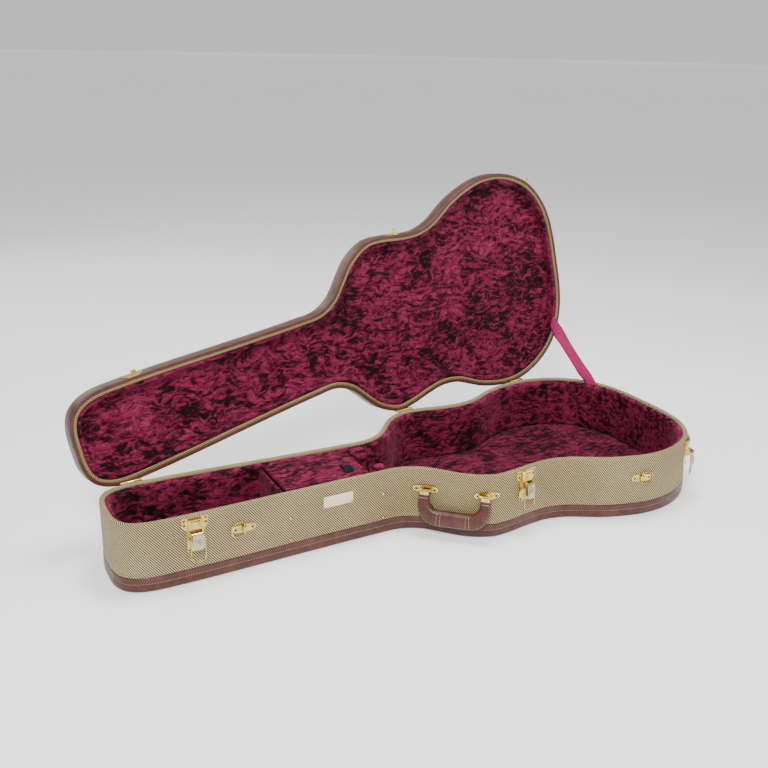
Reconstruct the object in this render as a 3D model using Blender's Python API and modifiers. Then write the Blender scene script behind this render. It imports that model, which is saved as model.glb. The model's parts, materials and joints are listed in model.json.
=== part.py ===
"""A dreadnought guitar case in tweed and leather, lying on its back with the lid open.

Frame: metres, +X along the centre line towards the lower bout, -Y the handle side, +Z up.
The origin is the centre of the underside. Lid pieces are modelled closed and hang from an
empty on the hinge line, which then opens them. Hardware is modelled in a local frame that
has X along the wall, -Y away from it and its pivot at the origin.
"""
import math

import bmesh
import bpy
from mathutils import Matrix, Vector

# ---- driving dimensions ---------------------------------------------------------------
RIM = 0.118                  # height of the base's rim
LID_GAP = 0.001              # space between the closed rims
LID_TOP = 0.1465             # top edge of the closed lid
LID_ARCH = 0.007             # rise of the lid's top panel
RIM_WIDTH = 0.009            # tweed-wrapped edge of base and lid
TWEED = 0.0012
PLYWOOD = 0.004
LEATHER = 0.0012
LINING = 0.0028              # plush and its backing under the lid's top
LID_PROUD = 0.0055           # how far the lid's leather edge stands out over the base
BAND_HEIGHT = 0.0245         # leather band round the foot of the base
FIT = 0.0003                 # clearance between pieces that touch

# half outline from the headstock end to the lower bout end: distance along, half width
HALF_OUTLINE = (
    (-0.555, 0.0),
    (-0.552, 0.039),
    (-0.540, 0.062),
    (-0.514, 0.076),
    (-0.465, 0.080),         # headstock, widest
    (-0.280, 0.075),
    (-0.100, 0.070),         # neck, narrowest
    (-0.059, 0.072),
    (-0.023, 0.091),
    (0.022, 0.142),
    (0.074, 0.170),          # upper bout
    (0.140, 0.163),
    (0.190, 0.158),          # waist
    (0.235, 0.168),
    (0.289, 0.197),
    (0.372, 0.220),          # lower bout
    (0.443, 0.212),
    (0.507, 0.175),
    (0.543, 0.117),
    (0.554, 0.058),
    (0.555, 0.0),
)
OUTLINE_STEPS = 2            # points for each span of the outline

HINGE_SLANT = math.radians(9.2)
HINGE_OUT = 0.1628           # where the hinge line crosses the middle of the case
HINGE_HEIGHT = 0.1160
LID_OPEN = math.radians(97)
HINGE_STATIONS = (-0.490, 0.080, 0.385)
HINGE_LENGTH = 0.036
BARREL = 0.0026
BARREL_BORE = 0.0015
HINGE_PIN = 0.0012

# latches: place along the front wall
LATCH_STATIONS = (-0.432, 0.137, 0.496)
LATCH_HEIGHT = 0.088         # lever pivot
LATCH_OUT = 0.0102           # lever pivot from the backplate's seat
LEVER_LENGTH = 0.0235
LEVER_HALF_WIDTH = 0.0088
LEVER_REST = math.radians(6)
BAIL_DROP = 0.005            # bail pivot below the lever pivot, with the lever shut
BAIL_OUT = 0.0027            # and out from it, so that the raised bail clears the pin
BAIL_LENGTH = 0.0400
BAIL_HALF_WIDTH = 0.0118
BAIL_BEND = 0.0070
BAIL_WIRE = 0.0010
CATCH_WIDTH = 0.0090         # the hook fits between the bail's rounded corners

# handle, hung across the shoulder between two brackets
HANDLE_ENDS = (-0.0225, 0.0575)
HANDLE_HEIGHT = 0.081
HANDLE_OUT = 0.0115
HANDLE_REST = math.radians(9)
HANDLE_BAR = 0.0017
LINK_HALF = 0.0075

STRAP_PLATE_STATIONS = (-0.352, 0.358)
STRAP_PLATE_HEIGHT = 0.0755
RING_WIRE = 0.0014
RING_OUT = 0.0032            # ring's hinge line from the plate's seat

COMPARTMENT_FROM = -0.270
CRADLE_FROM = -0.112
CRADLE_TO = -0.078
COMPARTMENT_TOP = 0.107

STAY_STATION = 0.522
STAY_INSET = 0.0125          # between the rim and its lining
STAY_WIDTH = 0.028
STAY_THICK = 0.0012
STAY_STEPS = 8

TWEED_RGB = (0.55, 0.47, 0.30)
LEATHER_RGB = (0.20, 0.065, 0.045)
PLUSH_RGB = (0.24, 0.018, 0.06)
BRASS_RGB = (0.83, 0.66, 0.35)
STEEL_RGB = (0.72, 0.71, 0.62)
PLY_RGB = (0.55, 0.40, 0.24)
STRAP_RGB = (0.42, 0.03, 0.12)
LABEL_RGB = (0.83, 0.64, 0.50)
RIBBON_RGB = (0.02, 0.02, 0.02)


# ---- scene, collections and materials ---------------------------------------------------
def clear_scene():
    for thing in list(bpy.data.objects):
        bpy.data.objects.remove(thing)


def new_collection(name):
    collection = bpy.data.collections.new(name)
    bpy.context.scene.collection.children.link(collection)
    return collection


def new_material(name, rgb, roughness, metallic=0.0):
    material = bpy.data.materials.new(name)
    material.use_nodes = True
    shader = material.node_tree.nodes["Principled BSDF"]
    shader.inputs["Base Color"].default_value = (*rgb, 1.0)
    shader.inputs["Roughness"].default_value = roughness
    shader.inputs["Metallic"].default_value = metallic
    return material


clear_scene()
CASE = new_collection("guitar_case")
CUTTERS = new_collection("cutters")
TWEED_CLOTH = new_material("tweed", TWEED_RGB, 0.85)
HIDE = new_material("leather", LEATHER_RGB, 0.45)
PLUSH = new_material("plush", PLUSH_RGB, 0.9)
BRASS = new_material("brass", BRASS_RGB, 0.25, 1.0)
STEEL = new_material("plated_steel", STEEL_RGB, 0.28, 1.0)
PLY = new_material("plywood", PLY_RGB, 0.7)
WEBBING = new_material("webbing", STRAP_RGB, 0.8)
LABEL = new_material("label", LABEL_RGB, 0.4)
RIBBON = new_material("ribbon", RIBBON_RGB, 0.4)


# ---- the outline ------------------------------------------------------------------------
def smooth_loop(points, steps):
    """A closed centripetal Catmull-Rom curve through points, with steps points a span."""
    loop = []
    count = len(points)
    for i in range(count):
        ends = [Vector(points[(i + k) % count]) for k in (-1, 0, 1, 2)]
        knots = [0.0]
        for a, b in zip(ends, ends[1:]):
            knots.append(knots[-1] + math.sqrt((b - a).length))
        for step in range(steps):
            t = knots[1] + (knots[2] - knots[1]) * step / steps
            row, width = ends, 1
            while len(row) > 1:
                row = [
                    row[k].lerp(row[k + 1], (t - knots[k]) / (knots[k + width] - knots[k]))
                    for k in range(len(row) - 1)
                ]
                width += 1
            loop.append(row[0])
    return loop


def case_loop():
    far_side = [(x, -y) for x, y in reversed(HALF_OUTLINE[1:-1])]
    return smooth_loop(list(HALF_OUTLINE) + far_side, OUTLINE_STEPS)


LOOP = case_loop()


def outline(inset=0.0):
    """The case's outline, clockwise from above, moved inwards by inset."""
    moved = []
    for i, point in enumerate(LOOP):
        along = (LOOP[(i + 1) % len(LOOP)] - LOOP[i - 1]).normalized()
        moved.append(point + inset * Vector((along.y, -along.x)))
    return moved


def half_width(x, inset=0.0):
    """Half the case's width at x, measured to the outline moved inwards by inset."""
    upper = sorted((tuple(p) for p in outline(inset) if p.y > 0))
    for (x0, y0), (x1, y1) in zip(upper, upper[1:]):
        if x0 <= x <= x1:
            return y0 + (y1 - y0) * (x - x0) / (x1 - x0)
    raise ValueError(f"no wall at {x}")


def local_frame(x, y, z, turn):
    return Matrix.Translation((x, y, z)) @ Matrix.Rotation(turn, 4, "Z")


def wall_seat(x, z, half_length, proud=0.0):
    """A frame on the front wall at x, with its origin clear of the wall over half_length."""
    reach = 0.012
    slope = (half_width(x + reach) - half_width(x - reach)) / (2 * reach)
    turn = -math.atan(slope)
    frame = local_frame(x, -half_width(x), z, turn)
    back = frame.inverted()
    outer = outline(-proud)
    highest = 0.0
    for a, b in zip(outer, outer[1:] + outer[:1]):
        for share in (0.0, 0.25, 0.5, 0.75):
            spot = back @ Vector((*a.lerp(b, share), z))
            if abs(spot.x) <= half_length and abs(spot.y) < 0.05:
                highest = min(highest, spot.y)
    return frame @ Matrix.Translation((0, highest - FIT, 0))


# ---- modelling helpers ------------------------------------------------------------------
def link(thing, name, material, frame):
    thing.name = name
    thing.data.name = name
    thing.data.materials.clear()
    thing.data.materials.append(material)
    thing.matrix_world = frame
    CASE.objects.link(thing)
    bpy.context.view_layer.update()
    return thing


def baked(thing):
    """A loose mesh object with what thing evaluates to; thing is removed."""
    CUTTERS.objects.link(thing)
    bpy.context.view_layer.update()
    evaluated = thing.evaluated_get(bpy.context.evaluated_depsgraph_get())
    mesh = bpy.data.meshes.new_from_object(evaluated)
    mesh.transform(thing.matrix_world)
    bpy.data.objects.remove(thing)
    tidy = bmesh.new()
    tidy.from_mesh(mesh)
    bmesh.ops.remove_doubles(tidy, verts=tidy.verts, dist=1e-6)
    tidy.to_mesh(mesh)
    tidy.free()
    return bpy.data.objects.new("piece", mesh)


def curve_object(splines, closed=True, flat=True):
    data = bpy.data.curves.new("curve", "CURVE")
    data.dimensions = "2D" if flat else "3D"
    for points in splines:
        spline = data.splines.new("POLY")
        spline.points.add(len(points) - 1)
        for target, point in zip(spline.points, points):
            target.co = (*Vector(point).to_3d(), 1.0)
        spline.use_cyclic_u = closed
    return bpy.data.objects.new("curve", data)


def sheet_piece(splines, thickness, move=Matrix()):
    """Flat outlines in XY, filled between, thickness deep and centred on z = 0."""
    thing = curve_object(splines)
    thing.data.fill_mode = "BOTH"
    thing.data.extrude = thickness / 2
    thing.matrix_world = move
    return baked(thing)


def wire_piece(points, radius, closed=False, move=Matrix(), resolution=2):
    """A round wire along points."""
    thing = curve_object([points], closed, flat=False)
    thing.data.bevel_depth = radius
    thing.data.bevel_resolution = resolution
    thing.data.use_fill_caps = not closed
    thing.matrix_world = move
    return baked(thing)


def swept_piece(path, section, closed=True, radii=None):
    """A section of (sideways, up) points carried along a path that lies in XY."""
    guide = curve_object([section])
    CUTTERS.objects.link(guide)
    thing = curve_object([path], closed, flat=False)
    thing.data.twist_mode = "Z_UP"
    thing.data.bevel_mode = "OBJECT"
    thing.data.bevel_object = guide
    thing.data.use_fill_caps = not closed
    for point, radius in zip(thing.data.splines[0].points, radii or ()):
        point.radius = radius
    piece = baked(thing)
    bpy.data.objects.remove(guide)
    return piece


def primitive_piece(make, move=Matrix(), **sizes):
    mesh = bpy.data.meshes.new("piece")
    shape = bmesh.new()
    make(shape, **sizes)
    shape.to_mesh(mesh)
    shape.free()
    mesh.transform(move)
    return bpy.data.objects.new("piece", mesh)


def box_piece(low, high, bevel=0.0):
    low, high = Vector(low), Vector(high)
    move = Matrix.Translation((low + high) / 2) @ Matrix.Diagonal((*(high - low), 1.0))
    thing = primitive_piece(bmesh.ops.create_cube, move, size=1.0)
    if bevel:
        rounding = thing.modifiers.new("rounding", "BEVEL")
        rounding.width = bevel
        rounding.segments = 1
        thing = baked(thing)
    return thing


def rod_piece(radius, start, end, sides=16):
    """A cylinder from start to end."""
    start, end = Vector(start), Vector(end)
    turn = (end - start).to_track_quat("Z", "Y").to_matrix().to_4x4()
    return primitive_piece(
        bmesh.ops.create_cone,
        Matrix.Translation((start + end) / 2) @ turn,
        cap_ends=True,
        segments=sides,
        radius1=radius,
        radius2=radius,
        depth=(end - start).length,
    )


def tube_piece(outer, bore, start, end, sides=16):
    """A tube along local X, from x = start to x = end."""
    stand = Matrix.Translation(((start + end) / 2, 0, 0)) @ Matrix.Rotation(math.pi / 2, 4, "Y")
    return sheet_piece([circle(outer, sides), circle(bore, sides)], end - start, stand)


def circle(radius, sides=16, centre=(0.0, 0.0)):
    return [
        (
            centre[0] + radius * math.cos(math.tau * i / sides),
            centre[1] + radius * math.sin(math.tau * i / sides),
        )
        for i in range(sides)
    ]


def arc(radius, start, end, steps, centre=(0.0, 0.0)):
    """Points on an arc from start to end, in degrees."""
    angles = [math.radians(start + (end - start) * i / steps) for i in range(steps + 1)]
    return [
        (centre[0] + radius * math.cos(a), centre[1] + radius * math.sin(a)) for a in angles
    ]


def mirrored(half):
    """A closed outline from its right half, listed from top to bottom."""
    return half + [(-x, y) for x, y in reversed(half)]


def oval(half_length, half_height, end_radius, steps=4):
    """A plate outline with round ends that swells towards its middle."""
    end = arc(end_radius, 65, -65, steps, (half_length - end_radius, 0.0))
    left = [(-x, y) for x, y in reversed(end)]
    return [(0.0, half_height), *end, (0.0, -half_height), *left]


def fuse(name, pieces, material, frame=Matrix(), cuts=(), smooth=False):
    """One solid: the union of pieces less the cuts, placed by frame."""
    body = pieces[0]
    for operation, tools in (("UNION", pieces[1:]), ("DIFFERENCE", cuts)):
        for tool in tools:
            CUTTERS.objects.link(tool)
            join = body.modifiers.new(operation.lower(), "BOOLEAN")
            join.operation = operation
            join.object = tool
    body = baked(body)
    for tool in (*pieces[1:], *cuts):
        bpy.data.objects.remove(tool)
    if smooth:
        body.data.shade_smooth()
        body.data.set_sharp_from_angle(angle=math.radians(35))
    return link(body, name, material, frame)


STAND = Matrix.Rotation(math.pi / 2, 4, "X")   # an outline's y becomes height


def standing_piece(splines, front, back):
    """Outlines in (x, z), from y = front to y = back."""
    return sheet_piece(splines, back - front, Matrix.Translation((0, (front + back) / 2, 0)) @ STAND)


def ring(name, profile, material):
    """A ring round the case; profile is (inset, height) points, clockwise."""
    path = [(p.x, p.y, 0.0) for p in LOOP]
    return fuse(name, [swept_piece(path, profile)], material)


def panel(name, inset, low, high, material):
    """A flat panel that fills the case's outline."""
    move = Matrix.Translation((0, 0, (low + high) / 2))
    return fuse(name, [sheet_piece([outline(inset)], high - low, move)], material)


def arched_panel(name, low, thickness, material, steps):
    """A panel that rises towards its middle; steps are (inset, rise) from its edge inwards."""
    mesh = bpy.data.meshes.new(name)
    shape = bmesh.new()
    rings = []
    for inset, rise in steps:
        rings.append([shape.verts.new((p.x, p.y, low + rise)) for p in outline(inset)])
    for outer, inner in zip(rings, rings[1:]):
        for i in range(len(outer)):
            shape.faces.new((outer[i - 1], outer[i], inner[i], inner[i - 1]))
    shape.faces.new(rings[-1])
    bmesh.ops.recalc_face_normals(shape, faces=shape.faces)
    bmesh.ops.reverse_faces(shape, faces=[f for f in shape.faces if f.normal.z < 0])
    lower = bmesh.ops.extrude_face_region(shape, geom=shape.faces[:])["geom"]
    moved = [v for v in lower if isinstance(v, bmesh.types.BMVert)]
    bmesh.ops.translate(shape, verts=moved, vec=(0, 0, thickness))
    bmesh.ops.recalc_face_normals(shape, faces=shape.faces)
    shape.to_mesh(mesh)
    shape.free()
    return fuse(name, [bpy.data.objects.new(name, mesh)], material)


# ---- base -------------------------------------------------------------------------------
def build_base():
    wall_in = TWEED + FIT
    panel("base_bottom_panel", wall_in, LEATHER + FIT, LEATHER + FIT + PLYWOOD, PLY)
    floor = LEATHER + PLYWOOD + 2 * FIT
    wall_out = wall_in + 0.005
    under_rim = RIM - TWEED - FIT
    ring(
        "base_wall",
        [(wall_in, floor), (wall_in, under_rim), (wall_out, under_rim), (wall_out, floor)],
        PLY,
    )
    lip = RIM - 0.010
    ring(
        "base_tweed_cover",
        [
            (0.0, BAND_HEIGHT + 2 * FIT),
            (0.0, RIM),
            (RIM_WIDTH, RIM),
            (RIM_WIDTH, lip),
            (RIM_WIDTH - TWEED, lip),
            (RIM_WIDTH - TWEED, RIM - TWEED),
            (TWEED, RIM - TWEED),
            (TWEED, BAND_HEIGHT + 2 * FIT),
        ],
        TWEED_CLOTH,
    )
    flange = 0.014
    ring(
        "base_leather_band",
        [
            (-0.0008, 0.0),
            (-0.0008, BAND_HEIGHT),
            (TWEED, BAND_HEIGHT),
            (TWEED, LEATHER),
            (flange, LEATHER),
            (flange, 0.0),
        ],
        HIDE,
    )
    panel("base_bottom_cover", flange + FIT, 0.0, LEATHER, TWEED_CLOTH)
    floor_top = 0.0155
    lining_in = 0.0170
    edge = RIM_WIDTH + FIT
    ring(
        "base_wall_lining",
        [
            (wall_out + FIT, floor_top + FIT),
            (wall_out + FIT, lip - FIT),
            (edge, lip - FIT),
            (edge, RIM - 0.002),
            (edge + 0.003, RIM - 0.0005),
            (lining_in, RIM - 0.006),
            (lining_in, floor_top + FIT),
        ],
        PLUSH,
    )
    panel("base_floor_pad", wall_out + FIT, floor, floor_top, PLUSH)
    return floor_top + FIT, lining_in + 2 * FIT


def build_compartment(floor, lining):
    """The neck cradle and the box for accessories beside it."""
    half = half_width((CRADLE_FROM + CRADLE_TO) / 2, lining) - FIT
    notch = 0.030
    horn = 0.1215
    profile = (
        [(-half, floor), (half, floor), (half, horn - 0.005), (half - 0.005, horn)]
        + [(notch + 0.008, horn - 0.002), (notch, horn - 0.014)]
        + arc(notch, 0, -180, 8, (0.0, 0.082))
        + [(-notch, horn - 0.014), (-notch - 0.008, horn - 0.002)]
        + [(-half + 0.005, horn), (-half, horn - 0.005)]
    )
    upright = Matrix.Rotation(math.pi / 2, 4, "Z") @ STAND
    cross = Matrix.Translation(((CRADLE_FROM + CRADLE_TO) / 2, 0, 0)) @ upright
    fuse("neck_cradle", [sheet_piece([profile], CRADLE_TO - CRADLE_FROM, cross)], PLUSH)

    end_half = half_width(COMPARTMENT_FROM, lining) - 0.001
    thickness = 0.006
    fuse(
        "compartment_end_panel",
        [
            box_piece(
                (COMPARTMENT_FROM - thickness, -end_half, floor),
                (COMPARTMENT_FROM, end_half, COMPARTMENT_TOP),
                0.0015,
            )
        ],
        PLUSH,
    )

    # the compartment's lid turns on its top back edge
    lid_half = half - 0.0015
    pivot = Matrix.Translation((COMPARTMENT_FROM, lid_half, COMPARTMENT_TOP + FIT + thickness))
    length = CRADLE_FROM - COMPARTMENT_FROM
    side = 0.001
    fuse(
        "compartment_lid",
        [
            box_piece(
                (side, -2 * lid_half, -thickness),
                (length - side, 0, 0),
                0.0018,
            )
        ],
        PLUSH,
        pivot,
    )
    ribbon = 0.016
    loop = [(0.0, 0.001), (0.002, 0.0045), (0.008, 0.0075)]
    loop += [(0.016, 0.0068), (0.022, 0.0035), (0.026, 0.001)]
    across = Matrix.Rotation(math.pi / 2, 4, "Z") @ STAND
    strip = curve_object([loop], closed=False, flat=False)
    strip.data.extrude = ribbon / 2
    strip.matrix_world = across
    shell = strip.modifiers.new("thickness", "SOLIDIFY")
    shell.thickness = 0.001
    tab_place = pivot @ Matrix.Translation((length - 0.032, -2 * lid_half + 0.012, FIT))
    fuse("compartment_pull_tab", [baked(strip)], RIBBON, tab_place)


# ---- lid --------------------------------------------------------------------------------
def build_lid():
    """The lid's pieces, modelled closed."""
    rim = RIM + LID_GAP
    panel_low = LID_TOP - LEATHER - FIT - PLYWOOD
    outer = -LID_PROUD + LEATHER
    wall_low = rim + LEATHER + FIT
    frame_top = panel_low - 0.0035
    pieces = [
        ring(
            "lid_wall",
            [
                (outer + FIT, wall_low),
                (outer + FIT, panel_low - FIT),
                (-FIT, panel_low - FIT),
                (-FIT, wall_low),
            ],
            PLY,
        ),
        ring(
            "lid_valance",
            [(0.0, rim), (0.0, frame_top), (RIM_WIDTH, frame_top), (RIM_WIDTH, rim)],
            TWEED_CLOTH,
        ),
        ring(
            "lid_leather_band",
            [
                (-LID_PROUD, rim),
                (-LID_PROUD, LID_TOP),
                (0.009, LID_TOP),
                (0.009, LID_TOP - LEATHER),
                (outer, LID_TOP - LEATHER),
                (outer, rim + LEATHER),
                (-FIT, rim + LEATHER),
                (-FIT, rim),
            ],
            HIDE,
        ),
        ring(
            "lid_wall_lining",
            [
                (RIM_WIDTH + FIT, rim + 0.0015),
                (RIM_WIDTH + FIT, frame_top),
                (0.0150, frame_top),
                (0.0150, rim + 0.004),
            ],
            PLUSH,
        ),
    ]
    rise = ((0.010, 0.0), (0.017, 0.65 * LID_ARCH), (0.025, LID_ARCH))
    steps = ((outer + FIT, 0.0), *rise)
    pieces.append(arched_panel("lid_top_panel", panel_low, PLYWOOD, TWEED_CLOTH, steps))
    steps = ((outer + 0.006, 0.0), *rise)
    low = panel_low - FIT - LINING - 0.0001
    pieces.append(arched_panel("lid_top_lining", low, LINING, PLUSH, steps))
    return pieces


# ---- hinges -----------------------------------------------------------------------------
def hinge_frame(station):
    """On the hinge line, with X along it and -Y away from the back wall."""
    y = HINGE_OUT + math.tan(HINGE_SLANT) * station
    return local_frame(station, y, HINGE_HEIGHT, HINGE_SLANT + math.pi)


def build_hinge(number, station):
    """Two leaves and a pin; returns the leaf that moves with the lid."""
    frame = hinge_frame(station)
    half = HINGE_LENGTH / 2
    knuckle = HINGE_LENGTH / 3
    to_wall = HINGE_OUT * math.cos(HINGE_SLANT) - wall_reach(station)
    leaf = 0.0012
    wall_side = to_wall - FIT
    base_plate = box_piece((-half, wall_side - leaf, -0.026), (half, wall_side, -0.0005))
    base_knuckle = tube_piece(BARREL, BARREL_BORE, -knuckle / 2, knuckle / 2)
    web = box_piece((-knuckle / 2, BARREL_BORE + FIT, -0.0022), (knuckle / 2, wall_side, -0.0005))
    clear = [
        box_piece((-half - 0.001, -0.0031, -0.0034), (-knuckle / 2 - FIT, 0.0028, 0.0034)),
        box_piece((knuckle / 2 + FIT, -0.0031, -0.0034), (half + 0.001, 0.0028, 0.0034)),
    ]
    fuse(f"hinge_{number}_base_leaf", [base_plate, base_knuckle, web], BRASS, frame, clear, True)

    lid_side = to_wall - LID_PROUD - FIT
    tall = LID_TOP - HINGE_HEIGHT - 0.0035
    lid_pieces = [box_piece((-half, lid_side - leaf, 0.0031), (half, lid_side, tall))]
    for start, end in ((-half, -knuckle / 2 - FIT), (knuckle / 2 + FIT, half)):
        lid_pieces.append(tube_piece(BARREL, BARREL_BORE, start, end))
        foot_in = -BARREL_BORE - FIT
        lid_pieces.append(box_piece((start, lid_side - leaf, 0.0), (end, foot_in, 0.0024)))
        if lid_side < foot_in:
            lid_pieces.append(box_piece((start, lid_side - leaf, 0.0022), (end, lid_side, 0.0035)))
        else:
            lid_pieces.append(box_piece((start, lid_side - leaf, 0.0022), (end, foot_in, 0.0035)))
    fuse(
        f"hinge_{number}_pin",
        [rod_piece(HINGE_PIN, (-half - 0.001, 0, 0), (half + 0.001, 0, 0), 12)],
        STEEL,
        frame,
        smooth=True,
    )
    return fuse(f"hinge_{number}_lid_leaf", lid_pieces, BRASS, frame, smooth=True)


def wall_reach(station):
    """How far the back wall reaches towards the hinge line near station, across the slant."""
    across = Vector((-math.sin(HINGE_SLANT), math.cos(HINGE_SLANT)))
    along = Vector((math.cos(HINGE_SLANT), math.sin(HINGE_SLANT)))
    middle = Vector((station, HINGE_OUT + math.tan(HINGE_SLANT) * station)).dot(along)
    near = [p.dot(across) for p in LOOP if abs(p.dot(along) - middle) < 0.04]
    return max(near)


# ---- latches ----------------------------------------------------------------------------
def build_latch(number, station):
    """Backplate with its housing, lever, bail and pin, and the lid's catch."""
    seat = wall_seat(station, LATCH_HEIGHT, 0.022)
    plate_half = [
        (0.0215, 0.0270),
        (0.0215, 0.0120),
        (0.0140, 0.0040),
        (0.0140, -0.0300),
        (0.0120, -0.0320),
    ]
    plate = standing_piece([mirrored(plate_half)], -0.0012, 0.0)
    cover = box_piece((-0.0112, -0.0058, 0.0055), (0.0112, -0.0005, 0.0245), 0.0010)
    cheek_in = LEVER_HALF_WIDTH + 0.0004
    cheek_out = cheek_in + 0.0012
    cheeks = [standing_cheek(side * cheek_out, side * cheek_in) for side in (-1, 1)]
    slot = box_piece((-0.0075, -0.0080, 0.0205), (0.0075, -0.0025, 0.0222))
    bore = rod_piece(0.0015, (-0.02, -LATCH_OUT, 0), (0.02, -LATCH_OUT, 0), 12)
    cuts = [slot, bore]
    locked = number == 2
    if locked:
        cuts.append(rod_piece(0.0036, (0, -0.0080, 0.0130), (0, -0.0030, 0.0130), 16))
    fuse(f"latch_{number}_housing", [plate, cover, *cheeks], BRASS, seat, cuts, True)
    if locked:
        plug = rod_piece(0.0033, (0, 0.0028, 0), (0, -0.0004, 0), 16)
        keyway = box_piece((-0.0005, -0.0010, -0.0020), (0.0005, 0.0008, 0.0016))
        place = seat @ Matrix.Translation((0, -0.0060, 0.0130))
        fuse("lock_plug", [plug], STEEL, place, [keyway], True)

    pivot = seat @ Matrix.Translation((0, -LATCH_OUT, 0))
    fuse(
        f"latch_{number}_pin",
        [rod_piece(0.0012, (-cheek_out - 0.0004, 0, 0), (cheek_out + 0.0004, 0, 0), 12)],
        STEEL,
        pivot,
        smooth=True,
    )
    # lever: a knuckle on the pin, and a plate that hangs outside the bail
    half = LEVER_HALF_WIDTH
    lever_half = [(half, 0.0), (half, 0.0040 - LEVER_LENGTH), (half - 0.0026, -LEVER_LENGTH)]
    lever_plate = standing_piece([mirrored(lever_half)], -0.0055, -0.0042)
    head = box_piece((0.0004 - half, -0.0051, -0.0014), (half - 0.0004, -0.0010, 0.0018), 0.0005)
    lever_knuckle = tube_piece(0.0029, 0.0015, -half, half)
    lips = [
        box_piece((side - 0.0005, -0.0050, -0.0175), (side + 0.0005, 0.0004, -0.0008))
        for side in (0.0005 - half, half - 0.0005)
    ]
    bail_bore = rod_piece(
        BAIL_WIRE + 0.0003, (-0.02, -BAIL_OUT, -BAIL_DROP), (0.02, -BAIL_OUT, -BAIL_DROP), 12
    )
    ridges = [
        box_piece((-0.0050, -0.0060, z - 0.0008), (0.0050, -0.0050, z + 0.0008))
        for z in (-0.0095, -0.0130, -0.0165)
    ]
    lever_frame = pivot @ Matrix.Rotation(-LEVER_REST, 4, "X")
    fuse(
        f"latch_{number}_lever",
        [lever_plate, lever_knuckle, head, *lips, *ridges],
        STEEL,
        lever_frame,
        [rod_piece(0.0015, (-0.02, 0, 0), (0.02, 0, 0), 12), bail_bore],
        True,
    )
    # bail: a wire loop whose ends turn in through the lever's lips
    bend = BAIL_BEND
    side = BAIL_HALF_WIDTH
    down = -BAIL_LENGTH
    corner = arc(bend, 0, -90, 4, (side - bend, down + bend))
    right = [(half - 0.0018, 0.0), (side - 0.0006, 0.0), (side, -0.0006)] + corner
    route = [(x, 0.0, z) for x, z in right] + [(-x, 0.0, z) for x, z in reversed(right)]
    bail_place = lever_frame @ Matrix.Translation((0, -BAIL_OUT, -BAIL_DROP))
    upright = Matrix.Translation(bail_place.translation) @ seat.to_quaternion().to_matrix().to_4x4()
    fuse(f"latch_{number}_bail", [wire_piece(route, BAIL_WIRE)], STEEL, upright, smooth=True)
    return build_catch(number, station)


def standing_cheek(near, far):
    """A side of the housing that carries the pin, between two distances from the middle."""
    low, high = sorted((near, far))
    profile = [(-0.0007, 0.0060), (-0.0007, -0.0060)] + arc(0.0030, 250, 110, 4, (-LATCH_OUT, 0.0))
    turn = Matrix.Rotation(math.pi / 2, 4, "Z") @ STAND
    return sheet_piece([profile], high - low, Matrix.Translation(((low + high) / 2, 0, 0)) @ turn)


def build_catch(number, station):
    """The lid's catch: a plate with ears and a hooked tongue for the bail."""
    seat = wall_seat(station, LATCH_HEIGHT, 0.021, LID_PROUD)
    rise = BAIL_LENGTH - BAIL_DROP - BAIL_WIRE - FIT
    plain = wall_seat(station, LATCH_HEIGHT, 0.022)
    reach = (seat.inverted() @ plain.translation).y - LATCH_OUT - BAIL_OUT
    half = [(0.0205, 0.0520), (0.0205, 0.0420), (0.0120, 0.0335), (0.0070, 0.0313)]
    plate = standing_piece([mirrored(half)], -0.0012, 0.0)
    profile = [
        (-0.0006, rise - 0.0023),
        (reach - 0.0030, rise - 0.0018),
        (reach - 0.0036, rise + 0.0022),
        (reach - 0.0024, rise + 0.0026),
        (reach - 0.0018, rise),
        (-0.0006, rise),
    ]
    turn = Matrix.Rotation(math.pi / 2, 4, "Z") @ STAND
    tongue = sheet_piece([profile], CATCH_WIDTH, turn)
    return fuse(f"latch_{number}_catch", [plate, tongue], BRASS, seat, smooth=True)


# ---- handle -----------------------------------------------------------------------------
def handle_frame():
    """Midway between the brackets, with X along the handle and -Y away from the case."""
    left, right = (Vector((x, -half_width(x))) for x in HANDLE_ENDS)
    span = right - left
    middle = (left + right) / 2
    frame = local_frame(middle.x, middle.y, HANDLE_HEIGHT, math.atan2(span.y, span.x))
    return frame @ Matrix.Translation((0, -HANDLE_OUT, 0)), span.length / 2


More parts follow.
